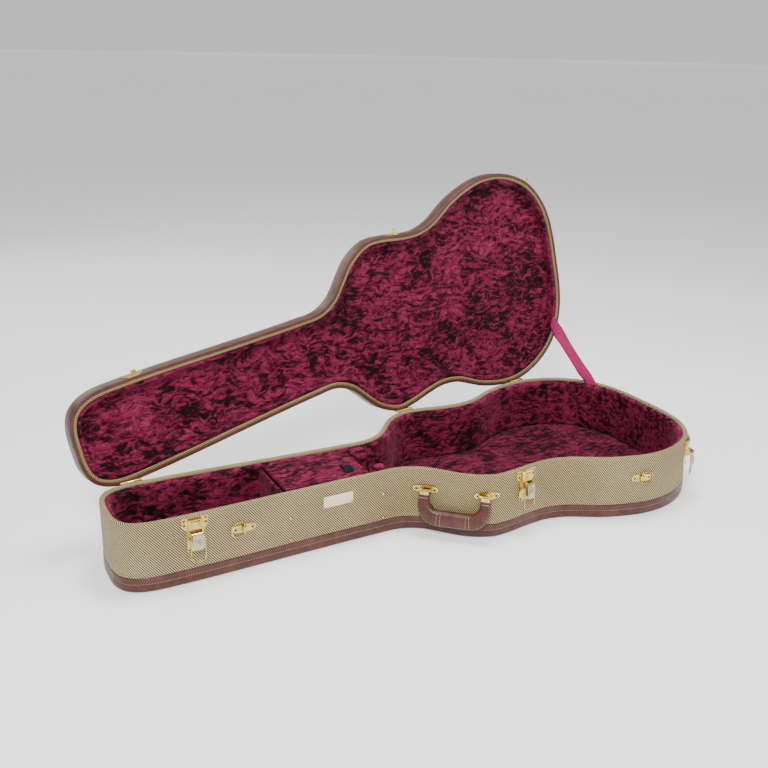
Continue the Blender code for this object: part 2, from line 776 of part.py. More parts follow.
def build_handle():
    frame, reach = handle_frame()
    hung = frame @ Matrix.Rotation(-HANDLE_REST, 4, "X")
    drop = 0.0065
    for name, x, station in (("left", -reach, HANDLE_ENDS[0]), ("right", reach, HANDLE_ENDS[1])):
        seat = wall_seat(station, HANDLE_HEIGHT, 0.022)
        plate = standing_piece([oval(0.0225, 0.0072, 0.0056)], -0.0014, 0.0)
        local = seat.inverted() @ frame
        bar = []
        for dx, on_plate in ((-0.0120, True), (-0.0105, False), (0.0105, False), (0.0120, True)):
            spot = local @ Vector((x + dx, 0, 0))
            if on_plate:
                spot.y = -0.0008
            bar.append(spot)
        fuse(f"handle_bracket_{name}", [plate, wire_piece(bar, HANDLE_BAR)], BRASS, seat, smooth=True)
        eye = tube_piece(0.0034, HANDLE_BAR + 0.0004, x - LINK_HALF, x + LINK_HALF, 12)
        edge = LINK_HALF + 0.0003
        tongue = box_piece((x - edge, -0.0034, -drop), (x + edge, -0.0022, -0.0005))
        fuse(f"handle_link_{name}", [eye, tongue], BRASS, hung, smooth=True)

    # grip: one leather section carried round a flattened U
    half = [
        (-reach, -drop - 2 * FIT),
        (-reach, -0.0150),
        (-reach + 0.0012, -0.0260),
        (-reach + 0.0060, -0.0360),
        (-reach + 0.0145, -0.0435),
        (-reach + 0.0250, -0.0462),
        (-0.0120, -0.0466),
    ]
    path = [(x, z, 0.0) for x, z in half + [(-x, z) for x, z in reversed(half)]]
    width, depth, corner = 0.0142, 0.0092, 0.0050
    section = []
    for sx, sy, start in ((1, 1, 90), (1, -1, 0), (-1, -1, -90), (-1, 1, -180)):
        centre = (sx * (width - corner), sy * (depth - corner))
        section += arc(corner, start, start - 90, 2, centre)
    taper = [0.62, 0.68, 0.76, 0.86, 0.95, 1.0, 1.0]
    grip = swept_piece(path, section, closed=False, radii=taper + taper[::-1])
    grip.data.transform(STAND)
    fuse("handle_grip", [grip], HIDE, hung, smooth=True)


# ---- strap plates, label, studs and stay ------------------------------------------------
def build_strap_plate(name, station, side):
    """A plate with a bridge over the straight side of a D-ring that lies to one side."""
    seat = wall_seat(station, STRAP_PLATE_HEIGHT, 0.021)
    plate = standing_piece([oval(0.0205, 0.0075, 0.0062)], -0.0014, 0.0)
    half_bridge = 0.0045
    outer = arc(0.0036, 0, -180, 8, (0.0, -RING_OUT))
    inner = arc(RING_WIRE + 0.0003, -180, 0, 8, (0.0, -RING_OUT))
    bridge_outline = (
        [(0.0036, -0.0008)] + outer + [(-0.0036, -0.0008), (-RING_WIRE - 0.0003, -0.0008)]
        + inner + [(RING_WIRE + 0.0003, -0.0008)]
    )
    bridge = sheet_piece([bridge_outline], 2 * half_bridge)
    fuse(f"strap_plate_{name}", [plate, bridge], BRASS, seat, smooth=True)
    tall, reach, corner = 0.0115, 0.0215, 0.0085
    ring_half = [(0.0, tall - 0.0015), (0.0015, tall), (reach - corner, tall)]
    bow = arc(corner, 90, 0, 4, (reach - corner, tall - corner))
    top = [(side * x, 0.0, z) for x, z in ring_half + bow]
    route = top + [(x, y, -z) for x, y, z in reversed(top)]
    place = seat @ Matrix.Translation((0, -RING_OUT, 0))
    fuse(f"d_ring_{name}", [wire_piece(route, RING_WIRE, closed=True)], BRASS, place, smooth=True)


def build_label():
    seat = wall_seat(-0.182, 0.085, 0.028)
    fuse("label_plate", [box_piece((-0.0275, -0.0010, -0.0100), (0.0275, 0.0, 0.0100))], LABEL, seat)


def build_studs():
    """Domed studs that hold the compartment's cross pieces to the front wall."""
    cradle_middle = (CRADLE_FROM + CRADLE_TO) / 2
    spots = (
        (COMPARTMENT_FROM, 0.071),
        (COMPARTMENT_FROM, 0.031),
        (cradle_middle, 0.075),
        (cradle_middle, 0.030),
    )
    for number, (x, z) in enumerate(spots, 1):
        head = rod_piece(0.0026, (0, 0, 0), (0, -0.0010, 0), 12)
        crown = rod_piece(0.0016, (0, -0.0004, 0), (0, -0.0016, 0), 12)
        seat = wall_seat(x, z, 0.003)
        fuse(f"wall_stud_{number}", [head, crown], BRASS, seat, smooth=True)


def build_stay(hinge):
    """The webbing that stops the lid, tucked between rim and lining at both ends."""
    opened = hinge @ Matrix.Rotation(-LID_OPEN, 4, "X") @ hinge.inverted()
    reach = 0.010
    near = Vector((STAY_STATION - reach, half_width(STAY_STATION - reach, STAY_INSET), 0))
    far = Vector((STAY_STATION + reach, half_width(STAY_STATION + reach, STAY_INSET), 0))
    along_wall = (far - near).normalized()
    start = Vector((STAY_STATION, half_width(STAY_STATION, STAY_INSET), RIM + 2 * FIT))
    finish = opened @ Vector((start.x, start.y, RIM + LID_GAP - 2 * FIT))
    along_lid = opened.to_3x3() @ along_wall
    along_case = Vector((1.0, 0.0, 0.0))
    mesh = bpy.data.meshes.new("stay")
    shape = bmesh.new()
    rows = []
    for step in range(STAY_STEPS + 1):
        share = step / STAY_STEPS
        middle = start.lerp(finish, share)
        anchored = along_wall if share < 0.5 else along_lid
        turned = min(1.0, 3 * min(share, 1 - share))
        side = anchored.slerp(along_case, turned) * STAY_WIDTH / 2
        rows.append([shape.verts.new(middle - side), shape.verts.new(middle + side)])
    for (a, b), (c, d) in zip(rows, rows[1:]):
        shape.faces.new((a, b, d, c))
    shape.to_mesh(mesh)
    shape.free()
    strip = bpy.data.objects.new("stay", mesh)
    shell = strip.modifiers.new("thickness", "SOLIDIFY")
    shell.thickness = STAY_THICK
    shell.offset = -1.0
    fuse("stay_strap", [baked(strip)], WEBBING)


# ---- assembly ---------------------------------------------------------------------------
def main():
    floor, lining = build_base()
    build_compartment(floor, lining)
    lid_pieces = build_lid()
    for number, station in enumerate(HINGE_STATIONS, 1):
        lid_pieces.append(build_hinge(number, station))
    for number, station in enumerate(LATCH_STATIONS, 1):
        lid_pieces.append(build_latch(number, station))
    build_handle()
    for name, station, side in zip(("left", "right"), STRAP_PLATE_STATIONS, (-1, 1)):
        build_strap_plate(name, station, side)
    build_label()
    build_studs()

    hinge = local_frame(0.0, HINGE_OUT, HINGE_HEIGHT, HINGE_SLANT)
    lid_hinge = bpy.data.objects.new("lid_hinge", None)
    lid_hinge.matrix_world = hinge
    CASE.objects.link(lid_hinge)
    bpy.context.view_layer.update()
    for piece in lid_pieces:
        piece.parent = lid_hinge
        piece.matrix_parent_inverse = hinge.inverted()
    build_stay(hinge)
    lid_hinge.rotation_euler = (-LID_OPEN, 0.0, HINGE_SLANT)
    bpy.context.view_layer.update()


main()
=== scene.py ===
"""The looks of an open guitar case: tweed, stitched leather, crushed plush and brass.

Every piece is built in metres in the CAD's frame. Rings that run round the case are swept
along one outline, and pieces of the lid are built closed and then turned open.
"""

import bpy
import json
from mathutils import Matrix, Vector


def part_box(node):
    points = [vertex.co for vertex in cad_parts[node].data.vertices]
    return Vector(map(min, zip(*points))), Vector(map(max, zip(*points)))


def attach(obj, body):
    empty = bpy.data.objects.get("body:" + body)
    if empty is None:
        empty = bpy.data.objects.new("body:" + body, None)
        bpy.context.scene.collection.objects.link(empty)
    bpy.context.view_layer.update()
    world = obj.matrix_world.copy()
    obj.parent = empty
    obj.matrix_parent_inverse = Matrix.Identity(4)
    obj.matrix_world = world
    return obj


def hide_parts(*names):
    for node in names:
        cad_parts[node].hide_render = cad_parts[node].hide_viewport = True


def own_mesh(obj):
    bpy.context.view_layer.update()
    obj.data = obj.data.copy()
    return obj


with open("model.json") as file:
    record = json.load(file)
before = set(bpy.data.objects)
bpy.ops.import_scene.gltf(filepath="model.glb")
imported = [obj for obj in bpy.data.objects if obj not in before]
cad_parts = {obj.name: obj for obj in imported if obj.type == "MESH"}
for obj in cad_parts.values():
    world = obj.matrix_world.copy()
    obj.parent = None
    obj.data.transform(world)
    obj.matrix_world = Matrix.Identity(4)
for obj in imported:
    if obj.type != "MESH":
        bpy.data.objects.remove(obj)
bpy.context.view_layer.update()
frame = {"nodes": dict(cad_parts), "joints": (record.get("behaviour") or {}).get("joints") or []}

import json
import math

import bmesh
import bpy
import numpy as np
from mathutils import Matrix, Vector, noise

NODES = frame["nodes"]
JOINTS = {joint["name"]: joint for joint in frame["joints"]}

# ---- driving dimensions ----------------------------------
RIM = 0.118                    # height of the base's rim
LID_RIM = 0.119                # height of the shut lid's rim
LID_TOP = 0.1465               # height of its leather edge
LID_PROUD = 0.0055             # how far that edge stands out from the wall
LID_ARCH = 0.007               # rise of its top panel
BAND_TOP = 0.0245              # height of the leather band round the foot
HANDLE_REST = math.radians(9)  # how far the hanging handle leans out
HANDLE_ENDS = (-0.0225, 0.0575)
STITCH_PITCH = 0.0044
STRAP_WIDTH = 0.028
LATCH_PLATE = 0.0012           # thicknesses of the brass plates
STRAP_PLATE = 0.0014
FAR = 1e9                      # beyond any distance in the model
HALF_OUTLINE = (
    (-0.555, 0.0), (-0.552, 0.039), (-0.540, 0.062), (-0.514, 0.076), (-0.465, 0.080),
    (-0.280, 0.075), (-0.100, 0.070), (-0.059, 0.072), (-0.023, 0.091), (0.022, 0.142),
    (0.074, 0.170), (0.140, 0.163), (0.190, 0.158), (0.235, 0.168), (0.289, 0.197),
    (0.372, 0.220), (0.443, 0.212), (0.507, 0.175), (0.543, 0.117), (0.554, 0.058),
    (0.555, 0.0),
)
OUTLINE_STEPS = 8


# ---- outline ---------------------------------------------
def smooth_loop(points, steps, closed=True):
    """A centripetal Catmull-Rom curve through points."""
    points = [np.array(p, float) for p in points]
    count = len(points)
    if not closed:
        points = [2 * points[0] - points[1], *points, 2 * points[-1] - points[-2]]
    spans = range(count) if closed else range(1, count)
    curve = []
    for i in spans:
        if closed:
            ends = [points[(i + k) % count] for k in (-1, 0, 1, 2)]
        else:
            ends = [points[i + k] for k in (-1, 0, 1, 2)]
        knots = [0.0]
        for a, b in zip(ends, ends[1:]):
            knots.append(knots[-1] + math.sqrt(np.linalg.norm(b - a)))
        for step in range(steps):
            t = knots[1] + (knots[2] - knots[1]) * step / steps
            row, width = ends, 1
            while len(row) > 1:
                row = [
                    row[k] + (row[k + 1] - row[k]) * (t - knots[k]) / (knots[k + width] - knots[k])
                    for k in range(len(row) - 1)
                ]
                width += 1
            curve.append(row[0])
    if not closed:
        curve.append(points[-2])
    return np.array(curve)


FAR_SIDE = [(x, -y) for x, y in reversed(HALF_OUTLINE[1:-1])]
LOOP = smooth_loop(list(HALF_OUTLINE) + FAR_SIDE, OUTLINE_STEPS)
ALONG = np.roll(LOOP, -1, 0) - np.roll(LOOP, 1, 0)
ALONG /= np.linalg.norm(ALONG, axis=1)[:, None]
INWARD = np.stack([ALONG[:, 1], -ALONG[:, 0]], 1)
STATION = np.concatenate([[0], np.cumsum(np.linalg.norm(np.diff(LOOP, axis=0), axis=1))])
PERIMETER = STATION[-1] + np.linalg.norm(LOOP[0] - LOOP[-1])


def half_width(x):
    """Half the case's width at x."""
    upper = LOOP[LOOP[:, 1] > 0]
    upper = upper[np.argsort(upper[:, 0])]
    return float(np.interp(x, upper[:, 0], upper[:, 1]))


def at_station(s, inset=0.0):
    """The point at distance s along the outline, and the direction inwards there."""
    s = s % PERIMETER
    closed = np.vstack([LOOP, LOOP[:1]])
    stations = np.append(STATION, PERIMETER)
    point = np.array([np.interp(s, stations, closed[:, k]) for k in (0, 1)])
    inwards = np.vstack([INWARD, INWARD[:1]])
    into = np.array([np.interp(s, stations, inwards[:, k]) for k in (0, 1)])
    into /= np.linalg.norm(into)
    return point + inset * into, into


def points_from(place, node, shut=Matrix()):
    """A CAD node's points as seen from a frame; shut brings the lid's nodes back first."""
    back = place.inverted()
    return [back @ (shut @ v.co) for v in NODES[node].data.vertices]


def hardware_frame(node, x, z):
    """A frame on the front wall at x with y = 0 at the back of a CAD node's plate."""
    reach = 0.012
    slope = (half_width(x + reach) - half_width(x - reach)) / (2 * reach)
    place = Matrix.Translation((x, -half_width(x), z))
    base = place @ Matrix.Rotation(-math.atan(slope), 4, "Z")
    return base @ Matrix.Translation((0, max(v.y for v in points_from(base, node)), 0))


def frame_along(x, spot):
    """A frame at a spot with a level X and Z up."""
    y = Vector((0, 0, 1)).cross(x)
    return Matrix.Translation(spot) @ Matrix((x, y, x.cross(y))).transposed().to_4x4()


def joint_frame(name, flip=1):
    """A frame at a joint with X along its axis, or against it, and Z up."""
    return frame_along(Vector(JOINTS[name]["axis"]) * flip, JOINTS[name]["pos_m"])


LID_JOINT = JOINTS["lid_hinge"]
OPENED = (
    Matrix.Translation(LID_JOINT["pos_m"])
    @ Matrix.Rotation(-math.radians(LID_JOINT["range_deg"][1]), 4, Vector(LID_JOINT["axis"]))
    @ Matrix.Translation(LID_JOINT["pos_m"]).inverted()
)
SHUT = OPENED.inverted()


# ---- shader nodes ----------------------------------------
def add(tree, kind, inputs=(), out=0, **settings):
    """Adds a node and returns one of its outputs."""
    node = tree.nodes.new("ShaderNode" + kind)
    for name, value in settings.items():
        setattr(node, name, value)
    for key, value in dict(inputs).items():
        if isinstance(value, bpy.types.NodeSocket):
            tree.links.new(value, node.inputs[key])
        else:
            node.inputs[key].default_value = value
    return node.outputs[out]


def maths(tree, operation, a, b=0.0):
    return add(tree, "Math", {0: a, 1: b}, operation=operation)


def blend_colour(tree, factor, a, b, kind="MIX"):
    colour = [(*c, 1.0) if isinstance(c, tuple) else c for c in (a, b)]
    return add(
        tree, "Mix", {0: factor, 6: colour[0], 7: colour[1]}, out=2, data_type="RGBA", blend_type=kind
    )


def ramp(tree, value, stops):
    """A colour ramp through (place, colour) stops."""
    output = add(tree, "ValToRGB", {0: value})
    elements = output.node.color_ramp.elements
    while len(elements) < len(stops):
        elements.new(1.0)
    for element, (place, colour) in zip(elements, stops):
        element.position = place
        element.color = (*colour, 1.0)
    return output


def noise_of(tree, vector, scale, detail=3.0, distortion=0.0, roughness=0.5):
    values = {
        "Vector": vector, "Scale": scale, "Detail": detail,
        "Distortion": distortion, "Roughness": roughness,
    }
    return add(tree, "TexNoise", values)


def bump(tree, height, distance, strength=1.0, normal=None):
    inputs = {"Height": height, "Distance": distance, "Strength": strength}
    if normal is not None:
        inputs["Normal"] = normal
    return add(tree, "Bump", inputs)


def new_material(name, **constants):
    """A material with its constant values on the shader's own sockets."""
    made = bpy.data.materials.new(name)
    made.use_nodes = True
    shader = made.node_tree.nodes["Principled BSDF"]
    for key, value in constants.items():
        shader.inputs[key.replace("_", " ")].default_value = value
    return made, made.node_tree, shader


def connect(tree, shader, **sockets):
    for key, socket in sockets.items():
        tree.links.new(socket, shader.inputs[key.replace("_", " ")])


def coordinates(tree, kind):
    node = tree.nodes.new("ShaderNodeTexCoord")
    return node.outputs[kind]


def uv_pair(tree):
    """The UV vector and its two parts, in metres."""
    uv = coordinates(tree, "UV")
    split = tree.nodes.new("ShaderNodeSeparateXYZ")
    tree.links.new(uv, split.inputs[0])
    return uv, split.outputs[0], split.outputs[1]


def wave(tree, value, period):
    """A sine of value, from -1 to 1, with a period in metres."""
    return maths(tree, "SINE", maths(tree, "MULTIPLY", value, math.tau / period))


# ---- materials -------------------------------------------
CREAM = (0.74, 0.59, 0.31)
UMBER = (0.012, 0.005, 0.002)
TAN = (0.55, 0.40, 0.18)
TAN_DARK = (0.050, 0.024, 0.010)
TWILL_ALONG = 0.00405
TWILL_UP = 0.00502


def tweed(name, light, dark):
    """Cloth with a dark diagonal twill that leans back as it rises, under old lacquer."""
    made, tree, shader = new_material(
        name, Roughness=0.60, Specular_IOR_Level=0.25, Coat_Weight=0.08, Coat_Roughness=0.30
    )
    uv, u, v = uv_pair(tree)
    climb = maths(tree, "MULTIPLY", v, math.tau / TWILL_UP)
    run = maths(tree, "MULTIPLY", u, math.tau / TWILL_ALONG)
    wander = maths(tree, "MULTIPLY", noise_of(tree, uv, 60.0, 2.0), 1.6)
    stripes = maths(tree, "SINE", maths(tree, "ADD", maths(tree, "SUBTRACT", climb, run), wander))
    thread_size = TWILL_ALONG / 4
    yarn = maths(tree, "MULTIPLY", wave(tree, u, thread_size), wave(tree, v, thread_size))
    fleck = maths(tree, "SUBTRACT", noise_of(tree, uv, 800.0, 2.0), 0.5)
    weave = maths(tree, "ADD", stripes, maths(tree, "MULTIPLY", yarn, 0.25))
    weave = maths(tree, "ADD", weave, maths(tree, "MULTIPLY", fleck, 0.7))
    place = maths(tree, "ADD", maths(tree, "MULTIPLY", weave, 0.50), 0.35)
    middle = tuple(0.35 * a + 0.65 * b for a, b in zip(light, dark))
    colour = ramp(tree, place, ((0.38, dark), (0.50, middle), (0.62, light)))
    stain = ramp(tree, noise_of(tree, uv, 7.0, 4.0), ((0.35, (0.84, 0.80, 0.70)), (0.65, (1.0, 1.0, 1.0))))
    colour = blend_colour(tree, 1.0, colour, stain, "MULTIPLY")
    rise = maths(tree, "ADD", maths(tree, "MULTIPLY", yarn, 0.5), maths(tree, "MULTIPLY", place, 0.8))
    connect(tree, shader, Base_Color=colour, Normal=bump(tree, rise, 0.00035, 0.8))
    return made


def leather(name, dark=(0.048, 0.0115, 0.0075), light=(0.102, 0.0265, 0.0185)):
    """Reddish-brown hide: fine pebbled grain, creases, and scuffs that lighten it."""
    made, tree, shader = new_material(name, Specular_IOR_Level=0.35, Coat_Weight=0.10, Coat_Roughness=0.20)
    place = coordinates(tree, "Object")
    pores = add(tree, "TexVoronoi", {"Vector": place, "Scale": 650.0})
    folds = noise_of(tree, place, 60.0, 6.0, 0.6, 0.62)
    cloud = noise_of(tree, place, 9.0, 4.0)
    colour = ramp(tree, folds, ((0.32, dark), (0.68, light)))
    scuff = ramp(tree, noise_of(tree, place, 35.0, 8.0, 1.0, 0.75), ((0.62, (0, 0, 0)), (0.74, (1, 1, 1))))
    colour = blend_colour(tree, maths(tree, "MULTIPLY", scuff, 0.22), colour, (0.20, 0.085, 0.062))
    shaded = ramp(tree, cloud, ((0.3, (0.82, 0.82, 0.82)), (0.7, (1.06, 1.06, 1.06))))
    colour = blend_colour(tree, 1.0, colour, shaded, "MULTIPLY")
    rough = add(tree, "MapRange", {0: folds, 1: 0.3, 2: 0.7, 3: 0.46, 4: 0.30})
    rise = maths(tree, "ADD", maths(tree, "MULTIPLY", pores, 0.5), folds)
    connect(tree, shader, Base_Color=colour, Roughness=rough, Normal=bump(tree, rise, 0.0005, 0.6))
    return made


def plush(name, gain=1.0):
    """Crushed crimson pile: dark shards among bright brushed flecks, with painted shade along its creases."""
    made, tree, shader = new_material(
        name, Roughness=0.8, Specular_IOR_Level=0.12, Sheen_Weight=0.12, Sheen_Roughness=0.3,
        Sheen_Tint=(0.95, 0.35, 0.55, 1.0),
    )
    place = coordinates(tree, "Object")
    warp = add(tree, "TexNoise", {"Vector": place, "Scale": 18.0, "Detail": 2.0}, out=1)
    bent = add(tree, "VectorMath", {0: warp, 1: (0.035, 0.035, 0.035)}, operation="MULTIPLY")
    bent = add(tree, "VectorMath", {0: place, 1: bent}, operation="ADD")
    stretched = add(tree, "Mapping", {"Vector": bent, "Scale": (1.0, 2.2, 2.6)})
    shards = noise_of(tree, stretched, 52.0, 6.0, 0.5, 0.70)
    patch = noise_of(tree, place, 13.0, 3.0, 0.6)
    mixed = maths(tree, "ADD", maths(tree, "MULTIPLY", shards, 0.74), maths(tree, "MULTIPLY", patch, 0.26))
    shades = (
        (0.425, (0.008, 0.0004, 0.0022)),
        (0.468, (0.044, 0.0022, 0.0095)),
        (0.505, (0.145, 0.0078, 0.0340)),
        (0.640, (0.262, 0.0260, 0.0800)),
    )
    stops = [(at, tuple(gain * c for c in colour)) for at, colour in shades]
    colour = ramp(tree, mixed, stops)
    # painted shade: the colour darkens along noise creases, where no fold is modelled
    fold = maths(tree, "SUBTRACT", noise_of(tree, bent, 62.0, 4.0, 1.1), 0.5)
    crease_shade = ramp(tree, maths(tree, "ABSOLUTE", fold), ((0.0, (0.22, 0.16, 0.18)), (0.030, (1.0, 1.0, 1.0))))
    colour = blend_colour(tree, 0.75, colour, crease_shade, "MULTIPLY")
    nick = maths(tree, "SUBTRACT", noise_of(tree, stretched, 120.0, 3.0, 0.9), 0.5)
    nicks = ramp(tree, maths(tree, "ABSOLUTE", nick), ((0.0, (0.12, 0.07, 0.10)), (0.022, (1.0, 1.0, 1.0))))
    colour = blend_colour(tree, 0.80, colour, nicks, "MULTIPLY")
    pile = noise_of(tree, place, 1400.0, 1.0)
    soft = bump(tree, mixed, 0.004, 0.7)
    connect(tree, shader, Base_Color=colour, Normal=bump(tree, pile, 0.0004, 0.5, soft))
    return made


def metal(name, colour, tarnish, roughness):
    """Plated metal with a little tarnish and fine wear."""
    made, tree, shader = new_material(name, Metallic=1.0)
    place = coordinates(tree, "Object")
    cloud = noise_of(tree, place, 70.0, 5.0, 0.4, 0.6)
    worn = ramp(tree, cloud, ((0.30, tarnish), (0.52, colour)))
    scratch = add(tree, "Mapping", {"Vector": place, "Scale": (300.0, 300.0, 2600.0)})
    lines = noise_of(tree, scratch, 1.0, 2.0)
    rough = add(tree, "MapRange", {0: cloud, 1: 0.3, 2: 0.7, 3: roughness + 0.18, 4: roughness})
    connect(tree, shader, Base_Color=worn, Roughness=rough, Normal=bump(tree, lines, 0.00008, 0.35))
    return made


def thread(name, colour):
    """Waxed twisted thread."""
    made, tree, shader = new_material(name, Roughness=0.6)
    place = coordinates(tree, "Object")
    stops = ((0.3, tuple(c * 0.6 for c in colour)), (0.7, colour))
    grime = ramp(tree, noise_of(tree, place, 160.0, 3.0), stops)
    connect(tree, shader, Base_Color=grime, Normal=bump(tree, noise_of(tree, place, 3000.0), 0.0002, 0.5))
    return made


def woven_band(name, colour, edge, width, rib):
    """A woven band with darker selvedges; its UVs are in metres, v across it."""
    made, tree, shader = new_material(name, Roughness=0.75, Specular_IOR_Level=0.15)
    uv, along, across = uv_pair(tree)
    ribs = wave(tree, along, rib)
    cords = wave(tree, across, rib * 1.6)
    off_centre = maths(tree, "ABSOLUTE", across)
    border = add(tree, "MapRange", {0: off_centre, 1: width * 0.38, 2: width * 0.42, 3: 0.0, 4: 1.0})
    wear = ramp(tree, noise_of(tree, uv, 120.0, 4.0), ((0.3, tuple(c * 0.7 for c in colour)), (0.7, colour)))
    connect(
        tree, shader,
        Base_Color=blend_colour(tree, border, wear, edge),
        Normal=bump(tree, maths(tree, "MULTIPLY", ribs, cords), 0.0003, 0.7),
    )
    return made


def plywood(name):
    made, tree, shader = new_material(name, Roughness=0.7)
    place = coordinates(tree, "Object")
    grain = add(tree, "Mapping", {"Vector": place, "Scale": (6.0, 90.0, 400.0)})
    stops = ((0.35, (0.30, 0.18, 0.08)), (0.65, (0.52, 0.36, 0.19)))
    colour = ramp(tree, noise_of(tree, grain, 1.0, 6.0, 0.5), stops)
    connect(tree, shader, Base_Color=colour)
    return made


def plain_card(name, colour):
    """A blank plate: satin lacquer with faint mottling."""
    made, tree, shader = new_material(name, Roughness=0.38, Coat_Weight=0.3)
    place = coordinates(tree, "Object")
    stops = ((0.35, tuple(c * 0.86 for c in colour)), (0.65, colour))
    connect(tree, shader, Base_Color=ramp(tree, noise_of(tree, place, 90.0, 5.0), stops))
    return made


TWEED = tweed("tweed", CREAM, UMBER)
TAN_TWEED = tweed("tan_tweed", TAN, TAN_DARK)
LEATHER = leather("leather")
PIPING = leather("dark_leather", (0.030, 0.010, 0.007), (0.075, 0.023, 0.016))
PLUSH = plush("plush")
# a darker copy of the same plush: painted shade for the floor deep inside the base
SHADED_PLUSH = plush("shaded_plush", 0.75)
BRASS = metal("brass", (0.66, 0.48, 0.14), (0.36, 0.23, 0.06), 0.16)
SILVER = metal("plated_silver", (0.46, 0.42, 0.29), (0.26, 0.23, 0.14), 0.16)
# near-black brass: painted shade for the recessed eyes of the rivets
EYE_SHADE_BRASS = metal("eye_shade_brass", (0.050, 0.030, 0.012), (0.022, 0.013, 0.006), 0.45)
CREAM_THREAD = thread("cream_thread", (0.56, 0.47, 0.35))
GREY_THREAD = thread("grey_thread", (0.42, 0.35, 0.28))
WEBBING = woven_band("webbing", (0.36, 0.018, 0.105), (0.20, 0.012, 0.065), STRAP_WIDTH, 0.0011)
RIBBON = woven_band("ribbon", (0.012, 0.012, 0.014), (0.03, 0.03, 0.035), 0.016, 0.0005)
PLY = plywood("plywood")
CARD = plain_card("label", (0.93, 0.66, 0.45))


# ---- mesh helpers ----------------------------------------
def linked(name, data):
    """A new object in the scene that holds data."""
    made = bpy.data.objects.new(name, data)
    bpy.context.scene.collection.objects.link(made)
    return made


def shade_smooth(mesh):
    mesh.polygons.foreach_set("use_smooth", [True] * len(mesh.polygons))


def mesh_object(name, verts, faces, material, uvs=None):
    """An object from points and faces; uvs holds one (u, v) for each corner of each face."""
    mesh = bpy.data.meshes.new(name)
    mesh.from_pydata([tuple(map(float, v)) for v in verts], [], faces)
    if uvs is not None:
        layer = mesh.uv_layers.new(name="UVMap")
        layer.data.foreach_set("uv", np.array(uvs, np.float32).ravel())
    mesh.materials.append(material)
    shade_smooth(mesh)
    mesh.update()
    return linked(name, mesh)


def finish_piece(piece, body, nodes=(), place=None, sharp=40):
    """Places a piece, faces it outwards, hands it to its body, and hides the CAD nodes it stands for."""
    if place is not None:
        piece.data.transform(place)
    shape = bmesh.new()
    shape.from_mesh(piece.data)
    bmesh.ops.recalc_face_normals(shape, faces=shape.faces)
    shape.to_mesh(piece.data)
    shape.free()
    if sharp:
        piece.data.set_sharp_from_angle(angle=math.radians(sharp))
    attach(piece, body)
    if nodes:
        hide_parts(*nodes)


def rounded(points, radii, steps=4):
    """A closed profile with its corners rounded; radii follow points, 0 keeps a corner."""
    points = [Vector(p) for p in points]
    made = []
    for i, (point, radius) in enumerate(zip(points, radii)):
        if not radius:
            made.append(tuple(point))
            continue
        before = point + (points[i - 1] - point).normalized() * radius
        after = point + (points[(i + 1) % len(points)] - point).normalized() * radius
        for step in range(steps + 1):
            t = step / steps
            made.append(tuple(before.lerp(point, t).lerp(point.lerp(after, t), t)))
    return made


def crumple(point, size, seed):
    """Smooth noise from about -1 to 1, with features of that size in metres."""
    return noise.noise(Vector(point) / size + Vector((seed, seed * 0.7, seed * 1.3)))


def sweep_ring(name, profile, material, soft=0.0, size=0.03, refine=0.0):
    """A closed profile of (inset, height) carried round the outline, with UVs in metres."""
    profile = np.array(refined(profile, refine) if refine else profile)
    lengths = np.linalg.norm(np.roll(profile, -1, 0) - profile, axis=1)
    v_at = np.concatenate([[0], np.cumsum(lengths)]) + profile[0, 1]
    rings, count = len(LOOP), len(profile)
    middle = profile.mean(0)
    verts = []
    for i in range(rings):
        for inset, height in profile:
            flat = LOOP[i] + INWARD[i] * inset
            point = np.array([*flat, height])
            if soft:
                push = crumple(point, size, 3.1) + 0.5 * crumple(point, size / 3, 7.7)
                away = np.array([inset, height]) - middle
                away /= max(np.linalg.norm(away), 1e-6)
                point[:2] += INWARD[i] * away[0] * push * soft
                point[2] += away[1] * push * soft
            verts.append(point)
    faces, uvs = [], []
    stations = np.append(STATION, PERIMETER)
    for i in range(rings):
        following = (i + 1) % rings
        for k in range(count):
            up = (k + 1) % count
            faces.append((i * count + k, i * count + up, following * count + up, following * count + k))
            uvs += [
                (stations[i], v_at[k]), (stations[i], v_at[k + 1]),
                (stations[i + 1], v_at[k + 1]), (stations[i + 1], v_at[k]),
            ]
    return mesh_object(name, verts, faces, material, uvs)


def refined(profile, step):
    """Splits a closed profile's long sides so that none is much longer than step."""
    made = []
    for i, a in enumerate(profile):
        b = profile[(i + 1) % len(profile)]
        a, b = np.array(a), np.array(b)
        parts = max(1, round(float(np.linalg.norm(b - a)) / step))
        made += [tuple(a + (b - a) * k / parts) for k in range(parts)]
    return made


def edge_distance(xs, ys):
    """How far inside the outline each point lies; negative outside."""
    p = np.stack([xs.ravel(), ys.ravel()], 1)
    a, b = LOOP, np.roll(LOOP, -1, 0)
    nearest = np.full(len(p), FAR)
    inside = np.zeros(len(p), bool)
    for start, end in zip(a, b):
        along = end - start
        share = np.clip(((p - start) @ along) / (along @ along), 0, 1)
        nearest = np.minimum(nearest, np.linalg.norm(p - start - share[:, None] * along, axis=1))
        crosses = (start[1] > p[:, 1]) != (end[1] > p[:, 1])
        if start[1] != end[1]:
            at = start[0] + (p[:, 1] - start[1]) * along[0] / along[1]
            inside ^= crosses & (p[:, 0] < at)
    return np.where(inside, nearest, -nearest).reshape(xs.shape)


